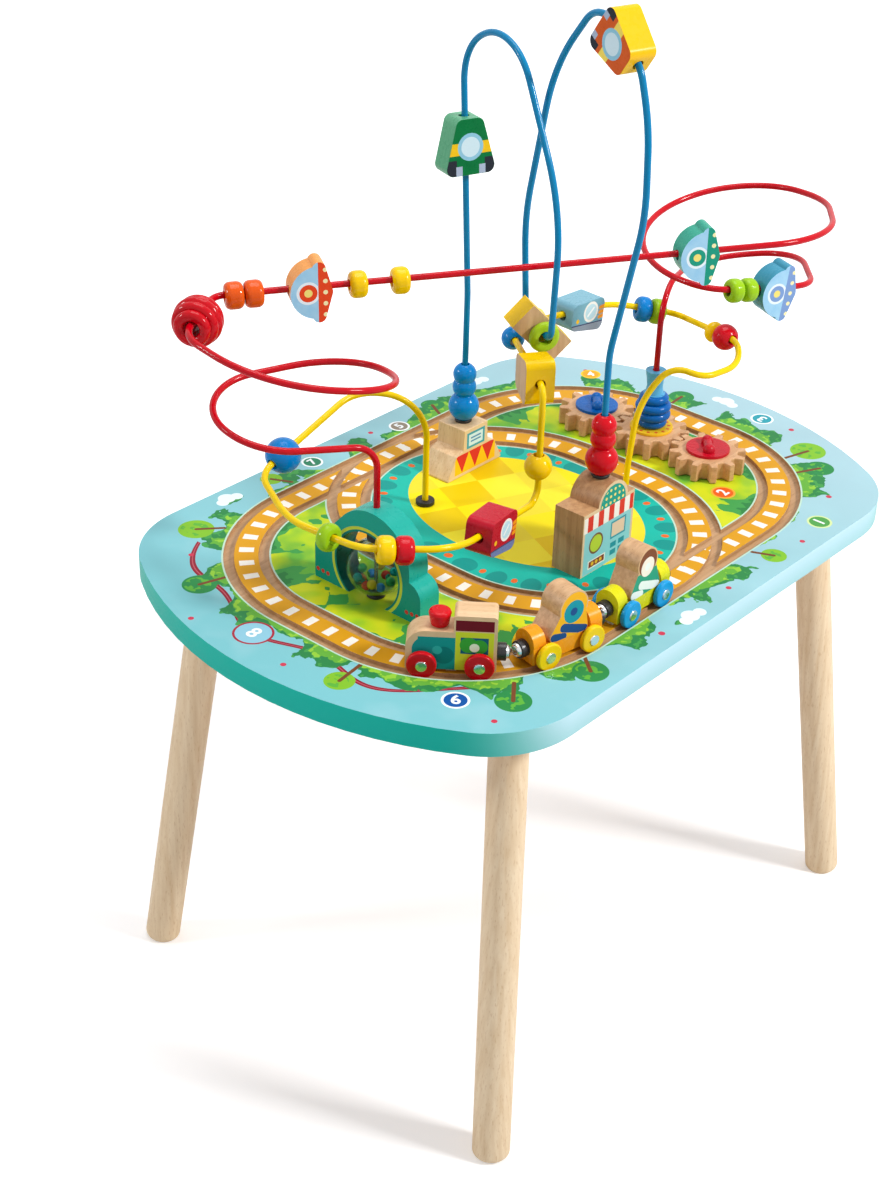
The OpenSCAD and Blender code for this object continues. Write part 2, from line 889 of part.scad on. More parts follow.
// Upright shape on a wagon: peg, rounded trunk and a head at lean along the wagon
module figure(lean, head, more) {
    tall = figure_height + more;
    translate([0, 0, wagon_floor + seat_gap]) {
        translate([0, 0, -8])
            cylinder(h = 12, r = 3.5);
        rotate([90, 0, 0])
            linear_extrude(body_width + 0.6, center = true)
                union() {
                    hull() {
                        for (s = [-1, 1])
                            translate([s * 13.5, 4])
                                circle(r = 4, $fn = 32);
                        translate([lean, tall - head - 6])
                            circle(r = head - 1.5);
                    }
                    translate([lean, tall - head])
                        circle(r = head);
                }
    }
}

module wagon_magnets() {
    magnet();
    mirror([1, 0, 0])
        magnet();
}

module wagon_one_base() {
    color("Orange")
        on_curve(wagon_one_angle)
            wagon_base();
}

module wagon_one_figure() {
    color("MediumAquamarine")
        on_curve(wagon_one_angle)
            figure(-3.5, 13, 0);
}

module wagon_one_front_wheels() {
    color("Gold")
        on_curve(wagon_one_angle)
            wheelset(1);
}

module wagon_one_rear_wheels() {
    color("Gold")
        on_curve(wagon_one_angle)
            wheelset(-1);
}

module wagon_one_magnets() {
    color("DimGray")
        on_curve(wagon_one_angle)
            wagon_magnets();
}

module wagon_two_base() {
    color("YellowGreen")
        on_straight()
            wagon_base();
}

module wagon_two_figure() {
    color("LightSkyBlue")
        on_straight()
            figure(-1, 11.8, 1.5);
}

module wagon_two_front_wheels() {
    color("DeepSkyBlue")
        on_straight()
            wheelset(1);
}

module wagon_two_rear_wheels() {
    color("DeepSkyBlue")
        on_straight()
            wheelset(-1);
}

module wagon_two_magnets() {
    color("DimGray")
        on_straight()
            wagon_magnets();
}

// Ball turned in five ribs
module ribbed_bead() {
    r = ribbed_ball / 2;
    color("Crimson")
        strung(high_path, 7, 31, hang(6))
            rotate([0, 90, 0])
                rotate_extrude()
                    difference() {
                        union() {
                            for (k = [-2 : 2])
                                translate([sqrt(r * r - 36 * k * k) - 4, 6 * k])
                                    circle(r = 4);
                            translate([0, -13])
                                square([9, 26]);
                        }
                        translate([-40, -40])
                            square([46, 80]);
                    }
}

module orange_beads() {
    color("Orange")
        for (t = [14, 28.2])
            strung(high_path, 8, t, hang(bore_r))
                barrel(13.6, 10, bore_r);
}

module orange_plate() {
    color("DarkOrange")
        strung(high_path, 8, 69, hang(bore_r))
            dome_plate(bore_r);
}

module yellow_beads() {
    color("Gold")
        for (t = [104, 135.4])
            strung(high_path, 8, t, hang(bore_r))
                barrel(13, 10, bore_r);
}

module teal_plate() {
    color("MediumTurquoise")
        strung(high_path, 8, 364.5, hang(bore_r))
            dome_plate(bore_r);
}

module lime_beads() {
    color("YellowGreen")
        for (t = [23, 36])
            strung(high_path, 13, t, hang(bore_r))
                barrel(12, 9.5, bore_r);
}

module blue_plate() {
    color("DodgerBlue")
        strung(high_path, 13, 61, hang(bore_r + 1))
            dome_plate(bore_r + 1);
}

module low_blue_ball() {
    color("RoyalBlue")
        strung(low_path, 2, 87, hang(bore_r))
            ball(13.5, bore_r);
}

module low_lime_ring() {
    color("YellowGreen")
        strung(low_path, 4, 40, hang(bore_r))
            barrel(10, ball_r, bore_r);
}

module low_barrels() {
    color("Gold")
        for (t = [18, 31.4])
            strung(low_path, 5, t, hang(bore_r))
                barrel(13, ball_r, bore_r);
}

module red_car() {
    color("Crimson")
        strung(low_path, 6, 50, hang(bore_r))
            car_block(37, 27, 31, bore_r);
}

module riser_ball() {
    color("Gold")
        strung(low_path, 7, 30, hang(bore_r))
            ball(ball_r, bore_r);
}

module riser_block() {
    color("Gold")
        strung(low_path, 8, 25, hang(bore_r))
            rotate([0, 0, 180])
                car_block(32, 28, 34, bore_r);
}

module small_blue_ball() {
    color("DodgerBlue")
        strung(low_path, 8, 96, hang(bore_r))
            ball(9, bore_r);
}

module grey_car() {
    color("LightSlateGray")
        strung(low_path, 9, 83, hang(bore_r))
            car_block(38, 22, 27, bore_r);
}

module back_barrels() {
    color("DodgerBlue")
        for (t = [29, 41.4])
            strung(low_path, 10, t, hang(bore_r))
                barrel(12, ball_r, bore_r);
}

module end_beads() {
    color("Crimson") {
        strung(low_path, 11, 53, hang(bore_r))
            barrel(9, 8.5, bore_r);
        strung(low_path, 11, 67.5, hang(bore_r))
            ball(ball_r, bore_r);
    }
}

module green_car() {
    color("LimeGreen")
        strung_tall(1, 119, hang(bore_r))
            rotate([-80, 0, 180])
                car_block(43, 24, 40, bore_r);
}

module orange_car() {
    color("Orange")
        strung_tall(10, 21, -hang(bore_r))
            rotate([0, 0, 180])
                car_block(38, 24, 36, bore_r);
}

// Block between two rings at the foot of the tall wire's loop
module hanging_block() {
    b = bore_r + 1.5;
    color("Gold")
        strung_tall(5, 27, hang(b)) {
            difference() {
                rotate([45, 0, 0])
                    cube([20, 46, 23], center = true);
                bore(60, b);
            }
            translate([-14, 0, 0])
                barrel(7, 12, b);
            translate([13.75, 0, 0])
                barrel(6.5, 12, b);
        }
}

tabletop();
leg_front_left();
leg_front_right();
leg_back_left();
leg_back_right();
fixings();
hill_block();
tent_block();
stall_block();
rubber_collars();
axle_pins();
high_wire();
low_wire();
tall_wire();
rattle_ball();
rattle_beads();
gear_blue();
gear_middle();
gear_red();
cap_blue();
cap_yellow();
cap_red();
bottle();
blue_skittle();
red_skittle();
engine_body();
engine_chimney();
engine_front_wheels();
engine_rear_wheels();
engine_magnets();
wagon_one_base();
wagon_one_figure();
wagon_one_front_wheels();
wagon_one_rear_wheels();
wagon_one_magnets();
wagon_two_base();
wagon_two_figure();
wagon_two_front_wheels();
wagon_two_rear_wheels();
wagon_two_magnets();
ribbed_bead();
orange_beads();
orange_plate();
yellow_beads();
teal_plate();
lime_beads();
blue_plate();
low_blue_ball();
low_lime_ring();
low_barrels();
red_car();
riser_ball();
riser_block();
small_blue_ball();
grey_car();
back_barrels();
end_beads();
green_car();
orange_car();
hanging_block();
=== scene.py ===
import json
import math

import bpy
from mathutils import Matrix, Vector

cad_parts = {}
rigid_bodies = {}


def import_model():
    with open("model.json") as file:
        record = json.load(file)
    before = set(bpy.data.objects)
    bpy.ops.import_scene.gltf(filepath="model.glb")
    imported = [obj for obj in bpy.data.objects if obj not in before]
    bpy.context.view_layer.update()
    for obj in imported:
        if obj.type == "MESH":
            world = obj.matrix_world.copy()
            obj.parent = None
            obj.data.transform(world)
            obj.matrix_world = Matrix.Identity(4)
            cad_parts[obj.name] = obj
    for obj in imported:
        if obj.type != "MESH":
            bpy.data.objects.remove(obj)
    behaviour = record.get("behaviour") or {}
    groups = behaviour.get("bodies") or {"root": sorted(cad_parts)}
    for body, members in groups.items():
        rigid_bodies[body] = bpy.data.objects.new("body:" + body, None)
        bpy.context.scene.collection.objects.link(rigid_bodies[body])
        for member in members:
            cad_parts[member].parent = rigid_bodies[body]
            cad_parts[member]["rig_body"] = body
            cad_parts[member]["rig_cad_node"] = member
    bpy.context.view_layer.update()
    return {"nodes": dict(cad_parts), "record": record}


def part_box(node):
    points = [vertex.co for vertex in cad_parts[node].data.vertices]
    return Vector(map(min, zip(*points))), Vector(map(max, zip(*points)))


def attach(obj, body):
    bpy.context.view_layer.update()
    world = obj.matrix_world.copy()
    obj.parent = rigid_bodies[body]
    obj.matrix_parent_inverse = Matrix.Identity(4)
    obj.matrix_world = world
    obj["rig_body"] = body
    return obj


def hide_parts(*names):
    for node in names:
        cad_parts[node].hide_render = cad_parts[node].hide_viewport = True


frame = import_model()


# Studio: the camera stands at the photograph's angle, a sheet of white paper lies under the table.
# A small soft box at the right gives the light and the bright spots on the beads; a weaker one at
# the left, a wide one above and the room fill the shadows.
scene = bpy.context.scene
scene.view_settings.view_transform = "Standard"
lens = bpy.data.cameras.new("camera")
lens.lens = 59.94
lens.shift_x = -0.0241
lens.shift_y = 0.0025
camera = bpy.data.objects.new("camera", lens)
camera.location = (-1.08586, -0.84463, 1.15339)
camera.rotation_euler = [math.radians(a) for a in (58.345, -1.8721, -49.3426)]
scene.collection.objects.link(camera)
scene.camera = camera

for name, place, size, watts in (
    ("right_soft_box", (0.9, -2.2, 2.2), 0.5, 66),
    ("left_soft_box", (-1.9, 1.6, 1.6), 0.42, 19),
    ("top_soft_box", (0.4, 0.3, 3.0), 1.6, 36),
):
    lamp = bpy.data.lights.new(name, "AREA")
    lamp.size = size
    lamp.energy = watts
    box = bpy.data.objects.new(name, lamp)
    box.location = place
    box.rotation_euler = (Vector((0, 0, 0.4)) - Vector(place)).to_track_quat("-Z", "Y").to_euler()
    scene.collection.objects.link(box)


def linear(code):
    """Turns a hex colour into the linear values of a shader socket."""
    parts = [int(code[i : i + 2], 16) / 255 for i in (1, 3, 5)]
    return tuple(c / 12.92 if c <= 0.04045 else ((c + 0.055) / 1.055) ** 2.4 for c in parts) + (1.0,)


def put(tree, kind, feeds=(), **settings):
    """Adds a shader node with its settings, and feeds its sockets in order or by name."""
    added = tree.nodes.new("ShaderNode" + kind)
    for key, value in settings.items():
        setattr(added, key, value)
    pairs = feeds.items() if isinstance(feeds, dict) else enumerate(feeds)
    for key, feed in pairs:
        if isinstance(feed, bpy.types.Node):
            feed = feed.outputs[0]
        if isinstance(feed, bpy.types.NodeSocket):
            tree.links.new(feed, added.inputs[key])
        elif feed is not None:
            added.inputs[key].default_value = feed
    return added


def new_finish(name):
    """An empty material of that name, and its tree."""
    finish = bpy.data.materials.new(name)
    finish.use_nodes = True
    finish.node_tree.nodes.clear()
    return finish, finish.node_tree


air = bpy.data.worlds.new("studio_room")
scene.world = air
air.use_nodes = True
tree = air.node_tree
tree.nodes.clear()
ray = put(tree, "LightPath")
seen = ray.outputs["Is Camera Ray"]
for kind in ("Is Glossy Ray", "Is Transmission Ray"):
    seen = put(tree, "Math", (seen, ray.outputs[kind]), operation="MAXIMUM")
room = put(tree, "Background", (linear("#f7f9ff"), 0.36))
wall = put(tree, "Background", (linear("#ffffff"), 1.0))
put(tree, "OutputWorld", (put(tree, "MixShader", (seen, room, wall)),))

bpy.ops.object.select_all(action="DESELECT")
bpy.ops.mesh.primitive_plane_add(size=16, location=(2, 2, 0))
floor = bpy.context.object
floor.name = "paper_floor"
bpy.ops.object.transform_apply(location=True, rotation=True, scale=True)
# uncoated paper: matt, with a faint fibre; seen by the camera it brightens with the distance,
# so that it runs into the white wall and keeps the table's shadow
paper, tree = new_finish("matt_white_paper")
spot = put(tree, "TexCoord").outputs["Object"]
fibre = put(tree, "TexNoise", {"Vector": spot, "Scale": 300.0, "Detail": 2.0})
tone = put(tree, "MixRGB", (fibre, linear("#eeeeee"), linear("#f5f5f5")))
ray = put(tree, "LightPath")
far = put(tree, "VectorMath", (spot,), operation="LENGTH").outputs["Value"]
far = put(tree, "MapRange", (far, 0.5, 2.2, 0.3, 0.75))
lift = put(tree, "Math", (ray.outputs["Is Camera Ray"], far), operation="MULTIPLY")
sheet = put(
    tree,
    "BsdfPrincipled",
    {"Base Color": tone, "Roughness": 0.95, "Emission Color": (1, 1, 1, 1), "Emission Strength": lift},
)
put(tree, "OutputMaterial", (sheet,))
floor.data.materials.append(paper)


# Board: 19 mm of beech plywood, sprayed sky blue and screen printed, its upper edge rounded over.
# The track is milled through the print, so the grooves show bare wood, edged by a pale line of painted
# highlight.
board_top = 0.390
board_under = 0.371
loop_x, loop_y, loop_r = 111.0, 29.0, 116.0  # middle of the outer loop's bend and its radius, mm
inner_r = 115.5
ground_edge = -17.0  # where the printed ground begins beside the middle of a track, mm
underside = -0.9  # a face of the board that looks down more than this is unpainted
BODY_OF = {n: b for b, members in frame["record"]["behaviour"]["bodies"].items() for n in members}


def twin(node):
    """A copy of a CAD node with its triangles merged into whole faces, which stands for the node."""
    bpy.ops.object.select_all(action="DESELECT")
    source = frame["nodes"][node]
    source.select_set(True)
    bpy.context.view_layer.objects.active = source
    bpy.ops.object.duplicate()
    piece = bpy.context.object
    piece.name = node + "_finished"
    piece.parent = None
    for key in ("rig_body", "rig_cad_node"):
        del piece[key]
    piece.data.materials.clear()
    bpy.ops.object.mode_set(mode="EDIT")
    bpy.ops.mesh.select_all(action="SELECT")
    bpy.ops.mesh.remove_doubles(threshold=1e-6)
    bpy.ops.mesh.customdata_custom_splitnormals_clear()
    bpy.ops.mesh.dissolve_limited(angle_limit=math.radians(0.3))
    bpy.ops.object.mode_set(mode="OBJECT")
    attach(piece, BODY_OF[node])
    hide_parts(node)
    return piece


def soften(piece, width, steps, here=None, sharp=30):
    """Rounds over the sharp edges of a piece, all of them or those whose middle passes the test."""
    bpy.ops.object.select_all(action="DESELECT")
    piece.select_set(True)
    bpy.context.view_layer.objects.active = piece
    bpy.ops.object.mode_set(mode="EDIT")
    bpy.ops.mesh.select_mode(type="EDGE")
    bpy.ops.mesh.select_all(action="DESELECT")
    bpy.ops.mesh.edges_select_sharp(sharpness=math.radians(sharp))
    bpy.ops.object.mode_set(mode="OBJECT")
    if here:
        points = piece.data.vertices
        for edge in piece.data.edges:
            a, b = edge.vertices
            edge.select = edge.select and here((points[a].co + points[b].co) / 2)
    bpy.ops.object.mode_set(mode="EDIT")
    bpy.ops.mesh.bevel(offset=width, segments=steps, affect="EDGES", clamp_overlap=True)
    bpy.ops.object.mode_set(mode="OBJECT")


def smooth(piece, angle=35):
    """Smooth shading up to an angle, with normals that keep the large faces flat."""
    bpy.ops.object.select_all(action="DESELECT")
    piece.select_set(True)
    bpy.context.view_layer.objects.active = piece
    bpy.ops.object.shade_smooth_by_angle(angle=math.radians(angle))
    flat = piece.modifiers.new("flat_faces", "WEIGHTED_NORMAL")
    flat.keep_sharp = True
    bpy.ops.object.modifier_apply(modifier=flat.name)


def dress(piece, finish, here=None):
    """Gives a finish to a piece, or to those of its faces whose centre and normal pass the test."""
    slots = piece.data.materials
    if slots.find(finish.name) < 0:
        slots.append(finish)
    at = slots.find(finish.name)
    for face in piece.data.polygons:
        if here is None or here(face.center, face.normal):
            face.material_index = at


def own_mm(tree, place=Matrix()):
    """Object coordinates in millimetres, in the axes of a piece that stands at that place."""
    turn = place.to_3x3().transposed()
    return put(
        tree,
        "Mapping",
        {
            "Vector": put(tree, "TexCoord").outputs["Object"],
            "Location": turn @ place.translation * -1000,
            "Rotation": turn.to_euler(),
            "Scale": (1000, 1000, 1000),
        },
        vector_type="POINT",
    )


def beech(name, grain, place=Matrix(), pale="#ecd2ad", dark="#d9b68a", fleck="#b98d5f"):
    """Sanded beech under clear matt lacquer: streaks of 4 mm by 90 mm, short flecks of 1 mm by 6 mm."""
    finish, tree = new_finish(name)
    mm = own_mm(tree, place)
    along = [1 / 90 if axis == grain else 1 / 4 for axis in range(3)]
    streak = put(tree, "VectorMath", (mm, along), operation="MULTIPLY")
    streak = put(tree, "TexNoise", {"Vector": streak, "Scale": 1.0, "Detail": 3.0, "Distortion": 0.3})
    wide = put(tree, "MapRange", (streak, 0.3, 0.7, 0.0, 1.0))
    tone = put(tree, "MixRGB", (wide, linear(dark), linear(pale)))
    short = [1 / 6 if axis == grain else 1 for axis in range(3)]
    speck = put(tree, "VectorMath", (mm, short), operation="MULTIPLY")
    speck = put(tree, "TexNoise", {"Vector": speck, "Scale": 1.0, "Detail": 1.0})
    speck = put(tree, "MapRange", (speck, 0.6, 0.72, 0.0, 0.45))
    tone = put(tree, "MixRGB", (speck, tone, linear(fleck)))
    rough = put(tree, "MapRange", (streak, 0.3, 0.7, 0.5, 0.42))
    dent = put(tree, "Bump", {"Height": speck, "Strength": 0.12, "Distance": 0.0003}, invert=True)
    wood = {"Base Color": tone, "Roughness": rough, "Normal": dent, "IOR": 1.5}
    put(tree, "OutputMaterial", (put(tree, "BsdfPrincipled", wood),))
    return finish


def over(tree, under, mask, code):
    """Prints a colour over what lies under it, where the mask is one."""
    return put(tree, "MixRGB", (mask, under, linear(code)))


def disc(tree, plane, u, v, r):
    """Mask of a printed dot: one inside radius r of a point of the plane, in millimetres."""
    far = put(tree, "VectorMath", (plane, (u, v, 0)), operation="DISTANCE").outputs["Value"]
    return put(tree, "Math", (far, r), operation="LESS_THAN")


def panel(tree, plane, u, v, half_u, half_v):
    """Mask of a printed rectangle about a point of the plane, in millimetres."""
    off = put(tree, "VectorMath", (plane, (u, v, 0)), operation="SUBTRACT")
    off = put(tree, "VectorMath", (off,), operation="ABSOLUTE")
    off = put(tree, "VectorMath", (off, (half_u, half_v, 1e6)), operation="DIVIDE")
    side = put(tree, "SeparateXYZ", (off,))
    far = put(tree, "Math", (side.outputs[0], side.outputs[1]), operation="MAXIMUM")
    return put(tree, "Math", (far, 1.0), operation="LESS_THAN")


def any_of(tree, masks):
    """The union of several printed shapes."""
    whole = masks[0]
    for mask in masks[1:]:
        whole = put(tree, "Math", (whole, mask), operation="MAXIMUM")
    return whole


def inked(tree, ink, rough=0.34, peel_mm=1.5, shine=0.1):
    """Ends a printed or sprayed surface: satin film with a faint orange peel under the ink."""
    spot = put(tree, "TexCoord").outputs["Object"]
    peel = put(tree, "TexNoise", {"Vector": spot, "Scale": 1000 / peel_mm, "Detail": 1.0})
    gloss = put(tree, "MapRange", (peel, 0.3, 0.7, rough - 0.05, rough + 0.06))
    wave = put(tree, "Bump", {"Height": peel, "Strength": 0.03, "Distance": 0.0003})
    film = put(
        tree,
        "BsdfPrincipled",
        {"Base Color": ink, "Roughness": gloss, "Normal": wave, "IOR": 1.5, "Specular IOR Level": shine},
    )
    put(tree, "OutputMaterial", (film,))


def track_loop(tree, ax, ay, cx, cy, r):
    """Distance from the middle of a track loop, and the way along a quarter of it, in millimetres."""
    qx = put(tree, "Math", (ax, cx), operation="SUBTRACT")
    qy = put(tree, "Math", (ay, cy), operation="SUBTRACT")
    ux = put(tree, "Math", (qx, 0.0), operation="MAXIMUM")
    uy = put(tree, "Math", (qy, 0.0), operation="MAXIMUM")
    far = put(tree, "CombineXYZ", (ux, uy, 0.0))
    far = put(tree, "VectorMath", (far,), operation="LENGTH").outputs["Value"]
    near = put(tree, "Math", (put(tree, "Math", (qx, qy), operation="MAXIMUM"), 0.0), operation="MINIMUM")
    off = put(tree, "Math", (put(tree, "Math", (far, near), operation="ADD"), r), operation="SUBTRACT")
    turn = put(tree, "Math", (ux, uy), operation="ARCTAN2")
    level = put(tree, "Math", (ax, cx), operation="MINIMUM")
    way = put(tree, "Math", (turn, r, level), operation="MULTIPLY_ADD")
    rest = put(tree, "Math", (cy, put(tree, "Math", (ay, cy), operation="MINIMUM")), operation="SUBTRACT")
    return off, put(tree, "Math", (way, rest), operation="ADD")


def stroke(tree, plane, a, b, half):
    """Mask of a printed line from a to b of the plane, with round ends, in millimetres."""
    run = Vector((b[0] - a[0], b[1] - a[1], 0))
    off = put(tree, "VectorMath", (plane, (a[0], a[1], 0)), operation="SUBTRACT")
    share = put(tree, "VectorMath", (off, run / run.length_squared), operation="DOT_PRODUCT")
    share = put(tree, "MapRange", (share.outputs["Value"], 0.0, 1.0, 0.0, 1.0))
    foot = put(tree, "VectorMath", {0: run, "Scale": share.outputs[0]}, operation="SCALE")
    far = put(tree, "VectorMath", (off, foot), operation="DISTANCE").outputs["Value"]
    return put(tree, "Math", (far, half), operation="LESS_THAN")


board_print, tree = new_finish("screen_printed_board")
mm = own_mm(tree)
axes = put(tree, "SeparateXYZ", (mm,))
plane = put(tree, "CombineXYZ", (axes.outputs[0], axes.outputs[1], 0.0))
ax = put(tree, "Math", (axes.outputs[0],), operation="ABSOLUTE")
ay = put(tree, "Math", (axes.outputs[1],), operation="ABSOLUTE")
outer, outer_way = track_loop(tree, ax, ay, loop_x, loop_y, loop_r)
inner, inner_way = track_loop(tree, ax, ay, 0.0, loop_y, inner_r)
mottle = put(tree, "TexNoise", {"Vector": plane, "Scale": 1 / 45, "Detail": 2.0})
drift = put(tree, "TexNoise", {"Vector": plane, "Scale": 1 / 38, "Detail": 0.0})
leafy = put(tree, "TexNoise", {"Vector": plane, "Scale": 1 / 7, "Detail": 1.5})

# sky blue, with painted light that makes it paler towards the right end, and a soft cloudy mottle
sky = put(tree, "MapRange", (axes.outputs[0], -300.0, 300.0, 0.0, 1.0))
ink = put(tree, "MixRGB", (sky, linear("#79bfc6"), linear("#a8c9d2")))
cloud = put(tree, "MapRange", (mottle, 0.5, 0.75, 0.0, 0.35))
ink = over(tree, ink, cloud, "#a8d2da")

# a stitched garden path that winds through the margin of the left end
wave = put(tree, "Math", (axes.outputs[1], 1 / 17), operation="MULTIPLY")
wave = put(tree, "Math", (wave,), operation="SINE")
wave = put(tree, "Math", (wave, 7.0, 33.0), operation="MULTIPLY_ADD")
aside = put(tree, "Math", (outer, wave), operation="SUBTRACT")
aside = put(tree, "Math", (aside,), operation="ABSOLUTE")
left_end = put(tree, "Math", (axes.outputs[0], -205.0), operation="LESS_THAN")
for half, code in ((2.1, "#8c1d31"), (0.45, "#b95560")):
    thread = put(tree, "Math", (aside, half), operation="LESS_THAN")
    ink = over(tree, ink, put(tree, "Math", (thread, left_end), operation="MULTIPLY"), code)

# hedges in clumps along the outside of the outer loop: leafy bumps, light ones in front of dark ones
leaf_edge = put(tree, "MapRange", (leafy, 0.3, 0.7, -3.0, 3.0))
for bump_mm, shift, high, code, light in (
    (11.0, 0.0, 21.0, "#2c8045", "#43994a"),
    (8.0, 5.0, 10.0, "#62a93a", "#8ec43c"),
):
    bump = put(tree, "Math", (outer_way, shift), operation="ADD")
    bump = put(tree, "Math", (bump, bump_mm), operation="PINGPONG")
    bump = put(tree, "Math", (bump, bump), operation="MULTIPLY")
    bump = put(tree, "Math", (bump, -0.06, leaf_edge), operation="MULTIPLY_ADD")
    clump = put(tree, "MapRange", (drift, 0.36, 0.55, -4.0, high))
    crest = put(tree, "Math", (bump, clump), operation="ADD")
    crest = put(tree, "Math", (crest, 19.0), operation="ADD")
    hedge = put(tree, "Math", (outer, crest), operation="LESS_THAN")
    ink = over(tree, ink, hedge, code)
    glint = put(tree, "Math", (leafy, 0.57), operation="GREATER_THAN")
    ink = over(tree, ink, put(tree, "Math", (hedge, glint), operation="MULTIPLY"), light)

# round trees whose trunks stand on the track's side, a few clouds and flowers in the margin
trees = [(-247, 104, 13), (-268, -58, 11), (-205, -160, 13), (-96, 183, 9), (96, 180, 10)]
trees += [(214, 158, 13), (263, 34, 11), (252, -104, 15), (232, -128, 12), (84, -180, 10)]
trees += [(-140, -176, 13), (-193, 166, 14)]
trunks = []
for u, v, r in trees:
    root = (max(-180, min(180, 0.8 * u)), max(-150, min(150, 0.8 * v)))
    foot = (u + (root[0] - u) * 0.42, v + (root[1] - v) * 0.42)
    trunks.append(stroke(tree, plane, (u, v), foot, 1.5))
ink = over(tree, ink, any_of(tree, trunks), "#744427")
for some, code in ((trees[::2], "#2a8646"), (trees[1::2], "#7fba2e")):
    ink = over(tree, ink, any_of(tree, [disc(tree, plane, u, v, r) for u, v, r in some]), code)
leaves = put(tree, "Math", (leafy, 0.55), operation="GREATER_THAN")
crown = any_of(tree, [disc(tree, plane, u - 1, v + 1, r - 3) for u, v, r in trees])
ink = over(tree, ink, put(tree, "Math", (crown, leaves), operation="MULTIPLY"), "#5bab3c")
ink = over(tree, ink, any_of(tree, trunks), "#744427")
puffs = [(-150, 182, 5), (-143, 185, 7), (-135, 182, 5), (150, 182, 5), (158, 185, 7), (167, 182, 5)]
puffs += [(281, 8, 5), (283, 0, 7), (280, -8, 5), (-40, -186, 5), (-32, -184, 7), (-23, -186, 5)]
blooms = [(-283, 74, 2.2), (-280, -16, 2.2), (-232, -166, 2.2), (-66, -183, 2.6), (20, -182, 2.2)]
blooms += [(118, -184, 2.2), (276, -72, 2.4), (246, 128, 2.2), (20, 182, 2.2), (-46, 183, 2.4)]
blooms += [(-222, 140, 2.2), (195, -160, 2.4)]
for some, code in ((puffs, "#e4f3f5"), (blooms, "#c83a52")):
    ink = over(tree, ink, any_of(tree, [disc(tree, plane, u, v, r) for u, v, r in some]), code)

# grass inside the outer loop, with lighter and darker patches and leafy bushes along the track
inside = put(tree, "Math", (outer, ground_edge), operation="LESS_THAN")
ink = over(tree, ink, inside, "#a9cd24")
sunny = put(tree, "MapRange", (mottle, 0.48, 0.58, 0.0, 1.0))
ink = over(tree, ink, put(tree, "Math", (inside, sunny), operation="MULTIPLY"), "#cfd722")
shady = put(tree, "MapRange", (mottle, 0.49, 0.38, 0.0, 1.0))
ink = over(tree, ink, put(tree, "Math", (inside, shady), operation="MULTIPLY"), "#66b03a")
for bump_mm, low, code in ((9.0, -44.0, "#3f9a48"), (6.0, -27.0, "#2c7f3f")):
    tuft = put(tree, "Math", (outer_way, bump_mm), operation="PINGPONG")
    depth = put(tree, "MapRange", (drift, 0.40, 0.55, 14.0, low - ground_edge))
    tuft = put(tree, "Math", (tuft, depth), operation="ADD")
    tuft = put(tree, "Math", (tuft, leaf_edge), operation="ADD")
    tuft = put(tree, "Math", (tuft, ground_edge), operation="ADD")
    tuft = put(tree, "Math", (outer, tuft), operation="GREATER_THAN")
    ink = over(tree, ink, put(tree, "Math", (inside, tuft), operation="MULTIPLY"), code)

# ring of teal inside the inner loop, with darker spots and small orange dots
ring = put(tree, "Math", (inner, ground_edge), operation="LESS_THAN")
ink = over(tree, ink, ring, "#19b6a3")
half_pitch = 17.5
round_way = put(tree, "Math", (inner_way, half_pitch), operation="PINGPONG")
unrolled = put(tree, "CombineXYZ", (round_way, inner, 0.0))
for middle, radius, code in (
    ((half_pitch, -25.0, 0), 10.0, "#0f948a"),
    ((0.0, -27.0, 0), 3.2, "#ea6a28"),
):
    off = put(tree, "VectorMath", (unrolled, middle), operation="DISTANCE").outputs["Value"]
    ink = over(tree, ink, put(tree, "Math", (off, radius), operation="LESS_THAN"), code)

# yellow field in the middle, checked in three yellows
oval = put(tree, "VectorMath", (plane, (7, 3, 0)), operation="SUBTRACT")
oval = put(tree, "VectorMath", (oval, (77, 103, 1)), operation="DIVIDE")
oval = put(tree, "VectorMath", (oval,), operation="LENGTH").outputs["Value"]
field = put(tree, "Math", (oval, 1.0), operation="LESS_THAN")
turned = put(
    tree,
    "Mapping",
    {"Vector": plane, "Rotation": (0, 0, math.radians(24)), "Location": (9, 4, 0.5)},
)
square_mm = 34
checks = []
for side, one, two in (
    (square_mm, linear("#f2de0e"), linear("#e6c60c")),
    (2 * square_mm, (0, 0, 0, 1), (1, 1, 1, 1)),
):
    feeds = {"Vector": turned, "Color1": one, "Color2": two, "Scale": 1 / side}
    checks.append(put(tree, "TexChecker", feeds))
ink = put(tree, "MixRGB", (field, ink, checks[0]))
wide_check = put(tree, "Math", (checks[1], 0.5), operation="MULTIPLY")
ink = over(tree, ink, put(tree, "Math", (field, wide_check), operation="MULTIPLY"), "#f4ea45")

# plain discs for the numbers, the large one with a red rim
for u, v, r, rim, core in (
    (-266, 28, 15, "#a32a3c", "#8cc3d6"),
    (-231, -131, 10, "#f3f7f8", "#16549f"),
    (46, 173, 9, "#f3f7f8", "#8f8372"),
    (243, 120, 9, "#f2c62c", "#f2a628"),
    (276, -42, 10, "#f3f7f8", "#2a9aa8"),
    (141, -94, 10, "#f2a83c", "#e8601c"),
    (154, -177, 10, "#cfe3a0", "#4f9a4a"),
    (-52, 180, 9, "#f3f7f8", "#2c7f5c"),
):
    ink = over(tree, ink, disc(tree, plane, u, v, r), rim)
    ink = over(tree, ink, disc(tree, plane, u, v, r - 1.8), core)
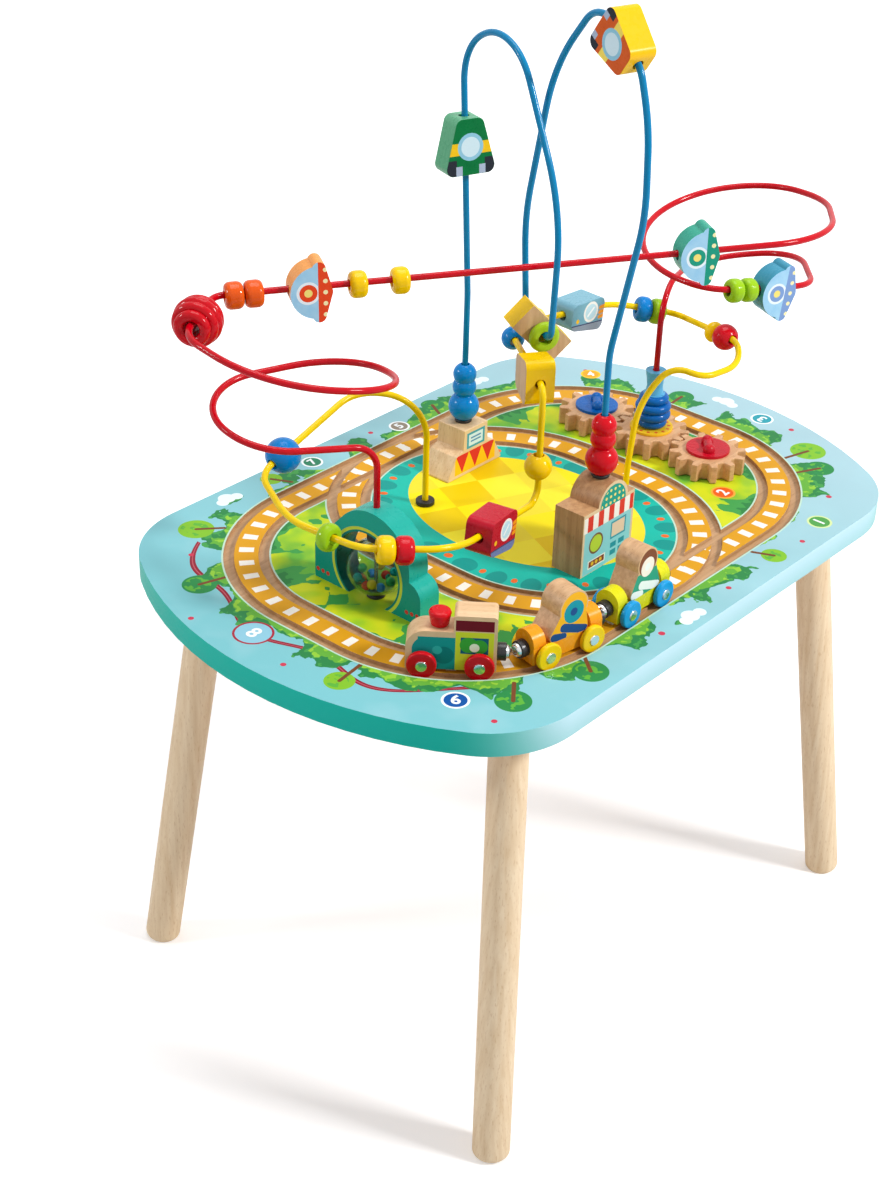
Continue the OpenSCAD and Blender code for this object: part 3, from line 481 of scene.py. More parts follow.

# track beds: ochre with white sleepers; a pale line along the outside of the grooves is a painted
# highlight
beds = []
for off, way, pitch in ((outer, outer_way, 19.53), (inner, inner_way, 19.13)):
    away = put(tree, "Math", (off,), operation="ABSOLUTE")
    step = put(tree, "Math", (way, pitch / 2), operation="PINGPONG")
    row = put(tree, "Math", (step, 3.5), operation="LESS_THAN")
    wide = put(tree, "Math", (away, 5.6), operation="LESS_THAN")
    beds.append((away, put(tree, "Math", (row, wide), operation="MULTIPLY")))
groove_edge_highlights = [put(tree, "Math", (away, 18.6), operation="LESS_THAN") for away, sleeper in beds]
ink = over(tree, ink, any_of(tree, groove_edge_highlights), "#bcdcc8")
cores = [put(tree, "Math", (away, 9.6), operation="LESS_THAN") for away, sleeper in beds]
ink = over(tree, ink, any_of(tree, cores), "#d99c1c")
ink = over(tree, ink, any_of(tree, [sleeper for away, sleeper in beds]), "#f6f1e6")
inked(tree, ink, 0.36)

# sprayed edge: the same satin film, teal round both ends; along the sides it fades to a pale sky blue
# that is painted light
edge_paint_and_painted_light, tree = new_finish("sprayed_board_edge_with_painted_light")
axes = put(tree, "SeparateXYZ", (own_mm(tree),))
ax = put(tree, "Math", (axes.outputs[0],), operation="ABSOLUTE")
painted_light_fade = put(tree, "MapRange", (ax, 185.0, 265.0, 0.0, 1.0), interpolation_type="SMOOTHSTEP")
ink = put(tree, "MixRGB", (painted_light_fade, linear("#bddfe9"), linear("#10b8a6")))
# painted shade: the edge turns a darker teal towards its lower side
drop = put(tree, "MapRange", (axes.outputs[2], 1000 * board_under, 1000 * board_top, 0.3, 0.0))
ink = over(tree, ink, drop, "#0ca395")
inked(tree, ink, 0.36)

# milled ply: bare wood, set darker than the planed blocks; the darker tone is partly painted shade for
# the depth of the grooves
bare_board_with_painted_shade = beech("milled_beech_ply_painted_shade", 0, pale="#c49c72", dark="#ae8559", fleck="#8b6640")

board = twin("tabletop")


def outside_track(p):
    """True well outside the outer loop of the track."""
    qx, qy = 1000 * abs(p.x) - loop_x, 1000 * abs(p.y) - loop_y
    return math.hypot(max(qx, 0), max(qy, 0)) + min(max(qx, qy), 0) - loop_r > 22


rim_reach = 0.19  # the board's rim lies further out than this, the screw holes nearer
soften(board, 0.003, 4, lambda p: p.z > board_top - 0.0005 and outside_track(p))
soften(
    board,
    0.0015,
    2,
    lambda p: p.z < board_under + 0.0005 and outside_track(p) and math.hypot(p.x, p.y) > rim_reach,
)
smooth(board)
dress(board, board_print)
print_under = board_top - 0.0001
dress(board, edge_paint_and_painted_light, lambda c, n: c.z < print_under and outside_track(c))
dress(board, bare_board_with_painted_shade, lambda c, n: (c.z < print_under and not outside_track(c)) or n.z < underside)


# Margin numbers: white figures of screen ink, a film 0.08 mm thick on the discs printed on the board.
# Each one is set as type, made a mesh and laid on the board, then all are joined into one piece.
white_ink, tree = new_finish("white_screen_ink")
grit = put(tree, "TexNoise", {"Vector": own_mm(tree), "Scale": 1 / 2, "Detail": 2.0})
ink = put(tree, "MixRGB", (grit, linear("#e9eef0"), linear("#f8fafa")))
inked(tree, ink, 0.4)
figures = []
for digit, u, v, high, turn in (
    ("8", -266, 28, 17, -90),
    ("6", -231, -131, 14, -45),
    ("5", 46, 173, 12, 0),
    ("4", 243, 120, 12, -30),
    ("3", 276, -42, 14, 90),
    ("2", 141, -94, 14, 0),
    ("1", 154, -177, 14, 0),
    ("7", -52, 180, 12, 0),
):
    bpy.ops.object.select_all(action="DESELECT")
    bpy.ops.object.text_add(
        location=(u / 1000, v / 1000, board_top + 0.00005),
        rotation=(0, 0, math.radians(turn)),
    )
    figure = bpy.context.object
    figure.data.body = digit
    figure.data.align_x = "CENTER"
    figure.data.align_y = "CENTER"
    figure.data.size = high / 1000
    figure.data.offset = 0.0004
    figure.data.extrude = 0.00004
    figure.data.resolution_u = 6
    bpy.ops.object.convert(target="MESH")
    figures.append(bpy.context.object)
bpy.ops.object.select_all(action="DESELECT")
for figure in figures:
    figure.select_set(True)
bpy.context.view_layer.objects.active = figures[0]
bpy.ops.object.join()
numbers = bpy.context.object
numbers.name = "margin_numbers"
bpy.ops.object.transform_apply(location=True, rotation=True, scale=True)
bpy.ops.object.mode_set(mode="EDIT")
bpy.ops.mesh.select_all(action="SELECT")
bpy.ops.mesh.remove_doubles(threshold=1e-6)
bpy.ops.object.mode_set(mode="OBJECT")
dress(numbers, white_ink)
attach(numbers, "table")


# Legs: four turned beech rods with rounded feet, screwed up into the board on hanger bolts.
# They are only sanded and clear lacquered, so the grain shows along their length.
leg_wood = beech("clear_lacquered_beech", 2, pale="#eed7b4", dark="#dfc29a", fleck="#c9a274")
leg_shoulder = 0.36  # the edges above this height, under the board, are broken by hand
for node in ("leg_front_left", "leg_front_right", "leg_back_left", "leg_back_right"):
    leg = twin(node)
    soften(leg, 0.0008, 2, lambda p: p.z > leg_shoulder)
    smooth(leg)
    dress(leg, leg_wood)

# zinc plated steel: a soft grey shine with a fine crystal mottle
steel, tree = new_finish("zinc_plated_steel")
grit = put(tree, "TexNoise", {"Vector": own_mm(tree), "Scale": 1 / 0.8, "Detail": 2.0})
shade = put(tree, "MixRGB", (grit, linear("#aeb1b5"), linear("#d3d5d8")))
gloss = put(tree, "MapRange", (grit, 0.3, 0.7, 0.2, 0.32))
metal = {"Base Color": shade, "Metallic": 1.0, "Roughness": gloss}
put(tree, "OutputMaterial", (put(tree, "BsdfPrincipled", metal),))


def dress_node(node, finish):
    """Gives a finish to a CAD node that is shown as it is."""
    slots = frame["nodes"][node].data.materials
    slots.clear()
    slots.append(finish)


dress_node("fixings", steel)
dress_node("axle_pins", steel)


# Hill: a 20 mm arch of wood, sprayed teal, glued and screwed to the board over the rattle ball.
# Its front is darker, most of all towards the foot, and printed with a lime line round the opening and
# small red marks at the foot.
def lacquer(name, code, rough=0.26):
    """Gloss lacquer sprayed on turned or cut wood: even colour with a film that varies over 25 mm."""
    finish, tree = new_finish(name)
    film = put(tree, "TexNoise", {"Vector": own_mm(tree), "Scale": 1 / 25, "Detail": 2.0})
    thin = tuple(c * 0.88 for c in linear(code)[:3]) + (1.0,)
    ink = put(tree, "MixRGB", (film, thin, linear(code)))
    inked(tree, ink, rough, peel_mm=4.0, shine=0.2)
    return finish


tunnel_z, tunnel_r = 415.0, 33.5  # middle of the opening and just over its radius, mm
facing = 0.95  # a face carries the print where its normal lies this close to the print's direction
hill_teal = lacquer("teal_lacquer", "#22b2a2", 0.3)
hill_print, tree = new_finish("printed_hill_front")
axes = put(tree, "SeparateXYZ", (own_mm(tree),))
plane = put(tree, "CombineXYZ", (axes.outputs[1], axes.outputs[2], 0.0))
rise = put(tree, "MapRange", (axes.outputs[2], 390.0, 455.0, 0.0, 1.0))
ink = put(tree, "MixRGB", (rise, linear("#0f9385"), linear("#22a596")))
ink = over(tree, ink, disc(tree, plane, 0, tunnel_z, 34.6), "#c8d545")
# painted shade: dark teal inside the lime line, for the shade within the opening
ink = over(tree, ink, disc(tree, plane, 0, tunnel_z, 32.2), "#0c7f76")
marks = [disc(tree, plane, y, 394.5 + 0.06 * abs(y), 1.7) for y in (-49, -44, -39, 39, 44, 49)]
ink = over(tree, ink, any_of(tree, marks), "#d63a34")
inked(tree, ink, 0.32)
hill = twin("hill_block")
soften(hill, 0.0016, 3)
smooth(hill)
dress(hill, hill_teal)
dress(hill, hill_print, lambda c, n: abs(n.x) > facing)
# painted shade: the walls inside the opening are a dark teal
hill_opening_painted_shade = lacquer("teal_painted_shade_in_opening", "#0c5f5b", 0.3)
dress(
    hill,
    hill_opening_painted_shade,
    lambda c, n: abs(n.x) < 0.5 and math.hypot(c.y, c.z - tunnel_z / 1000) < tunnel_r / 1000,
)


# Tent and stall: plain beech blocks with one printed face, glued and screwed to the board.
# The prints are geometric: a zigzag band, an awning, a window, a counter.
tent_wood = beech("sanded_beech_tent", 2, pale="#efcfa3", dark="#dfb888", fleck="#b88f62")
tent_x = 30.5  # middle of the tent's printed face, mm
tent_print, tree = new_finish("printed_tent_front")
axes = put(tree, "SeparateXYZ", (own_mm(tree),))
plane = put(tree, "CombineXYZ", (axes.outputs[0], axes.outputs[2], 0.0))
grain = put(tree, "TexNoise", {"Vector": plane, "Scale": 1 / 6, "Detail": 2.0})
ink = put(tree, "MixRGB", (grain, linear("#dcbd90"), linear("#e8cfa8")))
across = put(tree, "Math", (axes.outputs[0], tent_x), operation="SUBTRACT")
across = put(tree, "Math", (across, 8.0), operation="PINGPONG")
peak = put(tree, "Math", (across, 2.1, 393.5), operation="MULTIPLY_ADD")
band = panel(tree, plane, tent_x, 401.5, 25, 8.5)
ink = over(tree, ink, band, "#d6322c")
below = put(tree, "Math", (axes.outputs[2], peak), operation="LESS_THAN")
ink = over(tree, ink, put(tree, "Math", (band, below), operation="MULTIPLY"), "#f7c51e")
ink = over(tree, ink, panel(tree, plane, tent_x, 419.5, 11, 7), "#3f9fb4")
ink = over(tree, ink, panel(tree, plane, tent_x, 419.5, 8.6, 5), "#cfe9f2")
ink = over(tree, ink, panel(tree, plane, tent_x, 421.2, 6.2, 0.7), "#4c8fc4")
ink = over(tree, ink, panel(tree, plane, tent_x, 418.2, 6.2, 0.7), "#4c8fc4")
inked(tree, ink, 0.4)
tent = twin("tent_block")
soften(tent, 0.0018, 3)
smooth(tent)
dress(tent, tent_wood)
dress(tent, tent_print, lambda c, n: n.y < -facing)

stall_print, tree = new_finish("printed_stall_front")
axes = put(tree, "SeparateXYZ", (own_mm(tree),))
plane = put(tree, "CombineXYZ", (axes.outputs[0], axes.outputs[2], 0.0))
grain = put(tree, "TexNoise", {"Vector": plane, "Scale": 1 / 6, "Detail": 2.0})
ink = put(tree, "MixRGB", (grain, linear("#dcbd90"), linear("#e8cfa8")))
ink = over(tree, ink, disc(tree, plane, -12, 441, 15.5), "#1f9b88")
dot_pitch = 5.2
fan = put(tree, "VectorMath", (plane, (1 / dot_pitch, 1 / dot_pitch, 1)), operation="MULTIPLY")
fan = put(tree, "TexVoronoi", {"Vector": fan, "Scale": 1.0, "Randomness": 0.1}, voronoi_dimensions="2D")
fan = put(tree, "Math", (fan, 0.24), operation="LESS_THAN")
fan = put(tree, "Math", (disc(tree, plane, -12, 441, 14), fan), operation="MULTIPLY")
ink = over(tree, ink, fan, "#f4e27c")
ink = over(tree, ink, panel(tree, plane, -16, 412, 28.5, 21.5), "#8fcfd2")
stripe = put(tree, "Math", (axes.outputs[0], 6.4), operation="PINGPONG")
stripe = put(tree, "Math", (stripe, 3.2), operation="LESS_THAN")
awning = panel(tree, plane, -16, 433.5, 30, 6.5)
ink = over(tree, ink, awning, "#f6efe4")
ink = over(tree, ink, put(tree, "Math", (awning, stripe), operation="MULTIPLY"), "#dc3b2d")
ink = over(tree, ink, disc(tree, plane, -30, 414, 8.6), "#7b5a3a")
ink = over(tree, ink, disc(tree, plane, -30, 414, 7.0), "#b9d23b")
ink = over(tree, ink, panel(tree, plane, -3, 417, 9.4, 7.4), "#3c9aa8")
ink = over(tree, ink, panel(tree, plane, -3, 417, 7.8, 5.8), "#e8c9a8")
ink = over(tree, ink, panel(tree, plane, -28, 397.5, 10.5, 3.6), "#f3ead9")
ink = over(tree, ink, panel(tree, plane, -28, 397.5, 9.4, 2.6), "#8a3f2c")
fruit = [disc(tree, plane, u, 397.5, 1.7) for u in (-33, -28, -23)]
ink = over(tree, ink, any_of(tree, fruit), "#f2b52c")
drawers = [panel(tree, plane, u, v, 3.6, 2.2) for u in (-8, 2) for v in (404, 397.5)]
ink = over(tree, ink, any_of(tree, drawers), "#2c8f9b")
inked(tree, ink, 0.4)
# painted shade: the stall's beech is darker and redder than the tent's, for the shade on its side
stall_wood_painted_shade = beech("sanded_beech_stall_painted_shade", 2, pale="#c89c6e", dark="#ad7f54", fleck="#8a6040")
stall = twin("stall_block")
soften(stall, 0.0022, 3)
smooth(stall)
dress(stall, stall_wood_painted_shade)
dress(stall, stall_print, lambda c, n: n.y < -facing)


# Collars: moulded rings of black rubber, two where the low wire enters the board, two under the
# skittles and two beside the rattle ball. They are pushed on and hold by their own grip; rubber
# is deep black and dull, with a little dust.
rubber, tree = new_finish("black_rubber")
dust = put(tree, "TexNoise", {"Vector": own_mm(tree), "Scale": 1 / 1.5, "Detail": 3.0})
shade = put(tree, "MixRGB", (dust, linear("#0a0a0b"), linear("#171718")))
gloss = put(tree, "MapRange", (dust, 0.3, 0.7, 0.45, 0.6))
put(tree, "OutputMaterial", (put(tree, "BsdfPrincipled", {"Base Color": shade, "Roughness": gloss}),))
collars = twin("rubber_collars")
soften(collars, 0.0008, 3)
smooth(collars)
dress(collars, rubber)


# Wires: 5 mm steel rods bent cold and dipped in a gloss plastic coat, pressed into board and blocks.
# The coat shows a narrow bright line along the side that faces a lamp.
def wire_coat(name, code):
    """Dipped plastic coat on steel wire: gloss, with a film that runs a little thicker in places."""
    finish, tree = new_finish(name)
    run = put(tree, "TexNoise", {"Vector": own_mm(tree), "Scale": 1 / 18, "Detail": 2.0})
    thin = tuple(c * 0.8 for c in linear(code)[:3]) + (1.0,)
    ink = put(tree, "MixRGB", (run, thin, linear(code)))
    inked(tree, ink, 0.12, peel_mm=4.0, shine=0.2)
    return finish


for node, code in (("high_wire", "#cc0018"), ("low_wire", "#ffd800"), ("tall_wire", "#0086ba")):
    wire = twin(node)
    smooth(wire, 60)
    dress(wire, wire_coat(node + "_coat", code))


# Rattle: a hollow ball of clear plastic on a pin in the hill's opening, with coloured beads in it.
# Polystyrene is glassy with a faint haze; the low index keeps the thin wall from bending the view.
rattle_x = -0.169
clear, tree = new_finish("clear_polystyrene")
haze = put(tree, "TexNoise", {"Vector": own_mm(tree), "Scale": 1 / 14, "Detail": 2.0})
gloss = put(tree, "MapRange", (haze, 0.3, 0.7, 0.0, 0.05))
# painted shade: a grey-teal tint darkens the view through the ball, for the shade of the opening behind
# it
ball = put(
    tree,
    "BsdfPrincipled",
    {"Base Color": linear("#c2d6d8"), "Roughness": gloss, "IOR": 1.2, "Transmission Weight": 1.0},
)
put(tree, "OutputMaterial", (ball,))
rattle = twin("rattle_ball")
smooth(rattle)
dress(rattle, clear)
beads = twin("rattle_beads")
smooth(beads)
bead_colours = ("#e23b2c", "#f5c422", "#2f8fd0", "#3fae56", "#f08a2c", "#15a08f")
for k, code in enumerate(bead_colours):
    paint = lacquer("rattle_bead_" + str(k), code, 0.2)
    dress(
        beads,
        paint,
        lambda c, n: round(math.degrees(math.atan2(c.y, c.x - rattle_x)) / 30) % len(bead_colours) == k,
    )


# Gears: 15 mm beech cog wheels on steel pins. The outer two carry a coloured disc with a two-lobed
# grip, the middle one a flat yellow disc and a turned bottle that slides on the red wire.
middle_gear_x = 0.169
dot_count, dot_ring = 14, 14.6  # dots printed on the yellow disc and the radius of their ring, mm
gear_wood = beech("sawn_beech_gear", 0, pale="#dcae80", dark="#c99668", fleck="#a0714a")
for node in ("gear_blue", "gear_middle", "gear_red"):
    gear = twin(node)
    soften(gear, 0.0009, 2)
    smooth(gear)
    dress(gear, gear_wood)
for node, code in (("cap_blue", "#0660b2"), ("cap_red", "#c81028")):
    cap = twin(node)
    soften(cap, 0.0006, 2)
    smooth(cap, 45)
    dress(cap, lacquer(node + "_lacquer", code))
yellow_cap, tree = new_finish("yellow_disc_with_orange_dots")
axes = put(tree, "SeparateXYZ", (own_mm(tree, Matrix.Translation((middle_gear_x, 0, 0))),))
angle = put(tree, "Math", (axes.outputs[1], axes.outputs[0]), operation="ARCTAN2")
step = put(tree, "Math", (angle, math.pi / dot_count), operation="PINGPONG")
plane = put(tree, "CombineXYZ", (axes.outputs[0], axes.outputs[1], 0.0))
far = put(tree, "VectorMath", (plane,), operation="LENGTH").outputs["Value"]
arc = put(tree, "Math", (step, far), operation="MULTIPLY")
off = put(tree, "CombineXYZ", (arc, far, 0.0))
off = put(tree, "VectorMath", (off, (0, dot_ring, 0)), operation="DISTANCE")
dots = put(tree, "Math", (off.outputs["Value"], 1.5), operation="LESS_THAN")
ink = put(tree, "MixRGB", (dots, linear("#f3c52a"), linear("#e0602a")))
inked(tree, ink, 0.3)
cap = twin("cap_yellow")
soften(cap, 0.0005, 2)
smooth(cap)
dress(cap, yellow_cap)

bottle = twin("bottle")
smooth(bottle, 50)
dress(bottle, lacquer("bottle_blue", "#0062b4", 0.22))
neck_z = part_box("bottle")[0].z + 0.0292
dress(bottle, lacquer("bottle_sky", "#5fb6e2", 0.22), lambda c, n: c.z > neck_z)


# Skittles: three turned wooden balls in one piece, sliding on the tall wire's legs.
# Their gloss lacquer is sprayed thick and shows the lamps as small bright spots.
for node, code in (("blue_skittle", "#0089d8"), ("red_skittle", "#da0018")):
    skittle = twin(node)
    soften(skittle, 0.001, 3, sharp=40)
    smooth(skittle, 50)
    dress(skittle, lacquer(node + "_lacquer", code, 0.14))


# Engine and wagons: beech and lacquered bodies on steel axles, red, yellow and sky-blue wheels
# with bright hub nails, and black coupling housings with a bright magnet at the end.
axle_off = 0.020  # an axle's distance from the middle of its vehicle
wheel_in, wheel_out = 0.0106, 0.0157  # where a wheel's tread lies, from the middle of its axle
pole_from = 0.0381  # a magnet's bright pole lies further than this from the middle of its vehicle


def stand(x, y, turn):
    """Place of a vehicle: X forward along the track, Y to its left, from the board's surface."""
    return Matrix.Translation((x, y, board_top)) @ Matrix.Rotation(math.radians(turn), 4, "Z")


def on_curve(angle):
    """Place of a vehicle on the front left curve, at the middle of its two axles."""
    reach = math.sqrt((loop_r / 1000) ** 2 - axle_off**2)
    a = math.radians(angle)
    x, y = -loop_x / 1000, -loop_y / 1000
    return stand(x + reach * math.cos(a), y + reach * math.sin(a), angle - 90)


engine_at = on_curve(218.5)
wagon_one_at = on_curve(259)
wagon_two_at = stand(-0.051, -(loop_y + loop_r) / 1000, 180)

engine_wood = beech("sanded_beech_engine", 0, engine_at, pale="#e8c79c", dark="#d8b083", fleck="#b58a5d")
engine_print, tree = new_finish("printed_engine_side")
axes = put(tree, "SeparateXYZ", (own_mm(tree, engine_at),))
plane = put(tree, "CombineXYZ", (axes.outputs[0], axes.outputs[2], 0.0))
grain = put(tree, "TexNoise", {"Vector": plane, "Scale": 1 / 6, "Detail": 2.0})
ink = put(tree, "MixRGB", (grain, linear("#d8b083"), linear("#e8c79c")))
boiler = [
    panel(tree, plane, 10, 14, 13, 14.5),
    disc(tree, plane, 16.5, 18, 10.5),
    panel(tree, plane, 13, 10.5, 14, 7),
]
ink = over(tree, ink, any_of(tree, boiler), "#12948e")
ink = over(tree, ink, disc(tree, plane, 5, 14, 7.0), "#0a7a76")
ink = over(tree, ink, disc(tree, plane, 9.5, 18, 3.4), "#2fb0a6")
ink = over(tree, ink, panel(tree, plane, -16, 18, 13.2, 15.5), "#d3d92e")
ink = over(tree, ink, panel(tree, plane, -16, 38.5, 13.2, 4.2), "#6e0f1e")
ink = over(tree, ink, panel(tree, plane, -16, 22.5, 9.6, 6.6), "#155f73")
ink = over(tree, ink, disc(tree, plane, -19.5, 22, 5.6), "#3aa535")
ink = over(tree, ink, disc(tree, plane, -12, 23, 6.2), "#3aa535")
ink = over(tree, ink, disc(tree, plane, -16, 21, 3.4), "#eef3d2")
inked(tree, ink, 0.4)
engine = twin("engine_body")
soften(engine, 0.0014, 3)
smooth(engine)
dress(engine, engine_wood)
left_of_engine = engine_at.col[1].to_3d()
dress(engine, engine_print, lambda c, n: abs(n.dot(left_of_engine)) > facing)
chimney = twin("engine_chimney")
soften(chimney, 0.0012, 3, sharp=12)
smooth(chimney)
dress(chimney, lacquer("chimney_red", "#d60618", 0.24))

# nickel plate: bright and nearly a mirror, with faint polishing marks
hub, tree = new_finish("nickel_plated_nail")
grit = put(tree, "TexNoise", {"Vector": own_mm(tree), "Scale": 1 / 0.7, "Detail": 2.0})
shade = put(tree, "MixRGB", (grit, linear("#c4c7c9"), linear("#eceeef")))
gloss = put(tree, "MapRange", (grit, 0.3, 0.7, 0.1, 0.2))
metal = {"Base Color": shade, "Metallic": 1.0, "Roughness": gloss}
put(tree, "OutputMaterial", (put(tree, "BsdfPrincipled", metal),))
# moulded ABS: black with a satin shine and fine pores
housing, tree = new_finish("moulded_black_plastic")
pore = put(tree, "TexNoise", {"Vector": own_mm(tree), "Scale": 1 / 0.6, "Detail": 1.0})
shade = put(tree, "MixRGB", (pore, linear("#141416"), linear("#26262a")))
gloss = put(tree, "MapRange", (pore, 0.3, 0.7, 0.25, 0.4))
put(tree, "OutputMaterial", (put(tree, "BsdfPrincipled", {"Base Color": shade, "Roughness": gloss}),))

for vehicle, at, code in (
    ("engine", engine_at, "#d60618"),
    ("wagon_one", wagon_one_at, "#ffd40c"),
    ("wagon_two", wagon_two_at, "#1a9fe0"),
):
    wheel_paint = lacquer(vehicle + "_wheel_lacquer", code, 0.22)
    into = at.inverted()
    for end in ("front", "rear"):
        wheels = twin(vehicle + "_" + end + "_wheels")
        soften(wheels, 0.0005, 2)
        smooth(wheels)
        dress(wheels, wheel_paint)

        def nail(c, n):
            """True on the axle between the wheels and on the hub nails outside them."""
            aside = abs((into @ c).y)
            return aside > wheel_out or aside < wheel_in

        dress(wheels, hub, nail)
    magnets = twin(vehicle + "_magnets")
    soften(magnets, 0.0005, 2)
    smooth(magnets)
    dress(magnets, housing)
    dress(magnets, hub, lambda c, n: abs((into @ c).x) > pole_from)

for wagon, code in (("wagon_one", "#f7a21b"), ("wagon_two", "#dfdc1c")):
    base = twin(wagon + "_base")
    soften(base, 0.0012, 3)
    smooth(base)
    dress(base, lacquer(wagon + "_lacquer", code, 0.26))

for wagon, at, head, lower, belt, upper, trim in (
    ("wagon_one", wagon_one_at, (-3.5, 38, 13), "#f3b21c", "#1c4c86", "#f3b21c", "#1592a0"),
    ("wagon_two", wagon_two_at, (-1, 40.7, 11.8), "#2f9a76", "#e9efe4", "#7c4526", "#f0e6d2"),
):
    figure_wood = beech(wagon + "_figure_beech", 0, at, pale="#d9b083", dark="#c19468", fleck="#996d42")
    finish, tree = new_finish(wagon + "_printed_figure")
    axes = put(tree, "SeparateXYZ", (own_mm(tree, at),))
    plane = put(tree, "CombineXYZ", (axes.outputs[0], axes.outputs[2], 0.0))
    grain = put(tree, "TexNoise", {"Vector": plane, "Scale": 1 / 6, "Detail": 2.0})
    ink = put(tree, "MixRGB", (grain, linear("#c99f70"), linear("#dfb98c")))
    ink = over(tree, ink, panel(tree, plane, 0, 22, 40, 12), lower)
    ink = over(tree, ink, stroke(tree, plane, (-14, 17), (5, 24), 3.4), belt)
    ink = over(tree, ink, stroke(tree, plane, (5, 17), (14, 19), 3.0), belt)
    ink = over(tree, ink, disc(tree, plane, head[0], head[1], head[2] - 1.2), upper)
    ink = over(tree, ink, disc(tree, plane, head[0], head[1] - 3.5, head[2] - 4.0), trim)
    ink = over(tree, ink, disc(tree, plane, head[0], head[1] - 3.5, 3.2), belt)
    inked(tree, ink, 0.4)
    figure = twin(wagon + "_figure")
    soften(figure, 0.0013, 3)
    smooth(figure)
    dress(figure, figure_wood)
    left_side = at.col[1].to_3d()
    dress(figure, finish, lambda c, n: abs(n.dot(left_side)) > facing)


# Round beads: turned wood, drilled lengthwise, gloss lacquered, loose on their wires.
# Three of the pairs are of two colours, the second one further along the yellow wire.
wire_r = 2.5
lift_gap = 0.4  # a bead hangs this much clear of the wire, mm


def strung(a, b, along, bore, out=None):
    """Place of a bead that hangs on the straight from a to b of a wire: X along the wire."""
    start, stop = Vector(a) / 1000, Vector(b) / 1000
    way = (stop - start).normalized()
    if out is None:
        cross = Vector((0, 0, 1)).cross(way).normalized()
    else:
        cross = (out - way * out.dot(way)).normalized()
    rise = way.cross(cross)
    turn = Matrix((way, cross, rise)).transposed().to_4x4()
    drop = (bore - wire_r - lift_gap) / 1000
    return Matrix.Translation(Vector((0, 0, board_top)) + start + way * along / 1000 - rise * drop) @ turn


pair_split = {
    "low_barrels": ((-214, -26, 69), (-160, -68, 62), 24.7, "#d20a1e"),
    "back_barrels": ((150, 38, 122), (194, 4, 110), 35.2, "#9ccb18"),
    "end_beads": ((194, 4, 110), (168, -76, 118), 60.0, "#d20a1e"),
}
for node, code in (
    ("ribbed_bead", "#cc0418"),
    ("orange_beads", "#e85a12"),
    ("yellow_beads", "#ffd000"),
    ("lime_beads", "#9ccb18"),
    ("low_blue_ball", "#0082d2"),
    ("low_lime_ring", "#9ccb18"),
    ("low_barrels", "#ffd000"),
    ("riser_ball", "#ffd000"),
    ("small_blue_ball", "#0082d2"),
    ("back_barrels", "#0082d2"),
    ("end_beads", "#ffd000"),
):
    bead = twin(node)
    soften(bead, 0.0012, 3, sharp=15)
    smooth(bead, 45)
    dress(bead, lacquer(node + "_lacquer", code, 0.13))
    if node in pair_split:
        a, b, along, second = pair_split[node]
        back = strung(a, b, along, 4).inverted()
        dress(bead, lacquer(node + "_second_lacquer", second, 0.13), lambda c, n: (back @ c).x > 0)


# Dome plates: flat domes cut from 18 mm beech, drilled along the wire, their rims sprayed
# in one colour, both faces printed with a pale dome and a row of dots along the rim.
run_from, run_to = (-194, 135, 202), (205, -131, 209)
drop_from, drop_to = (139, -63, 166), (230, -101, 155)
for node, at, rim, sides in (
    ("orange_plate", strung(run_from, run_to, 69, 4), "#e8481f", "#f2a04c"),
    ("teal_plate", strung(run_from, run_to, 364.5, 4), "#1f9a80", "#2fa58c"),
    ("blue_plate", strung(drop_from, drop_to, 61, 5), "#7f9fd2", "#3f97b4"),
):
    finish, tree = new_finish(node + "_print")
    axes = put(tree, "SeparateXYZ", (own_mm(tree, at),))
    plane = put(tree, "CombineXYZ", (axes.outputs[0], axes.outputs[2], 0.0))
    haze = put(tree, "TexNoise", {"Vector": plane, "Scale": 1 / 9, "Detail": 1.0})
    ink = put(tree, "MixRGB", (haze, linear("#8cc6ea"), linear("#b6ddf2")))
    ink = over(tree, ink, disc(tree, plane, -3, 0, 8.6), "#e9f4fa")
    ink = over(tree, ink, disc(tree, plane, -3, 0, 6.6), rim)
    ink = over(tree, ink, disc(tree, plane, -3, 0, 3.0), "#f6e27a")
    ink = over(tree, ink, put(tree, "Math", (axes.outputs[0], 4.2), operation="GREATER_THAN"), rim)
    row = [disc(tree, plane, 9.5, v, 1.7) for v in (-17, -8.5, 0, 8.5, 17)]
    ink = over(tree, ink, any_of(tree, row), "#f8eeb4")
    inked(tree, ink, 0.3)
    plate = twin(node)
    soften(plate, 0.0013, 3)
    smooth(plate)
    dress(plate, lacquer(node + "_lacquer", sides, 0.26))
    face_way = at.col[1].to_3d()
    dress(plate, finish, lambda c, n: abs(n.dot(face_way)) > facing)


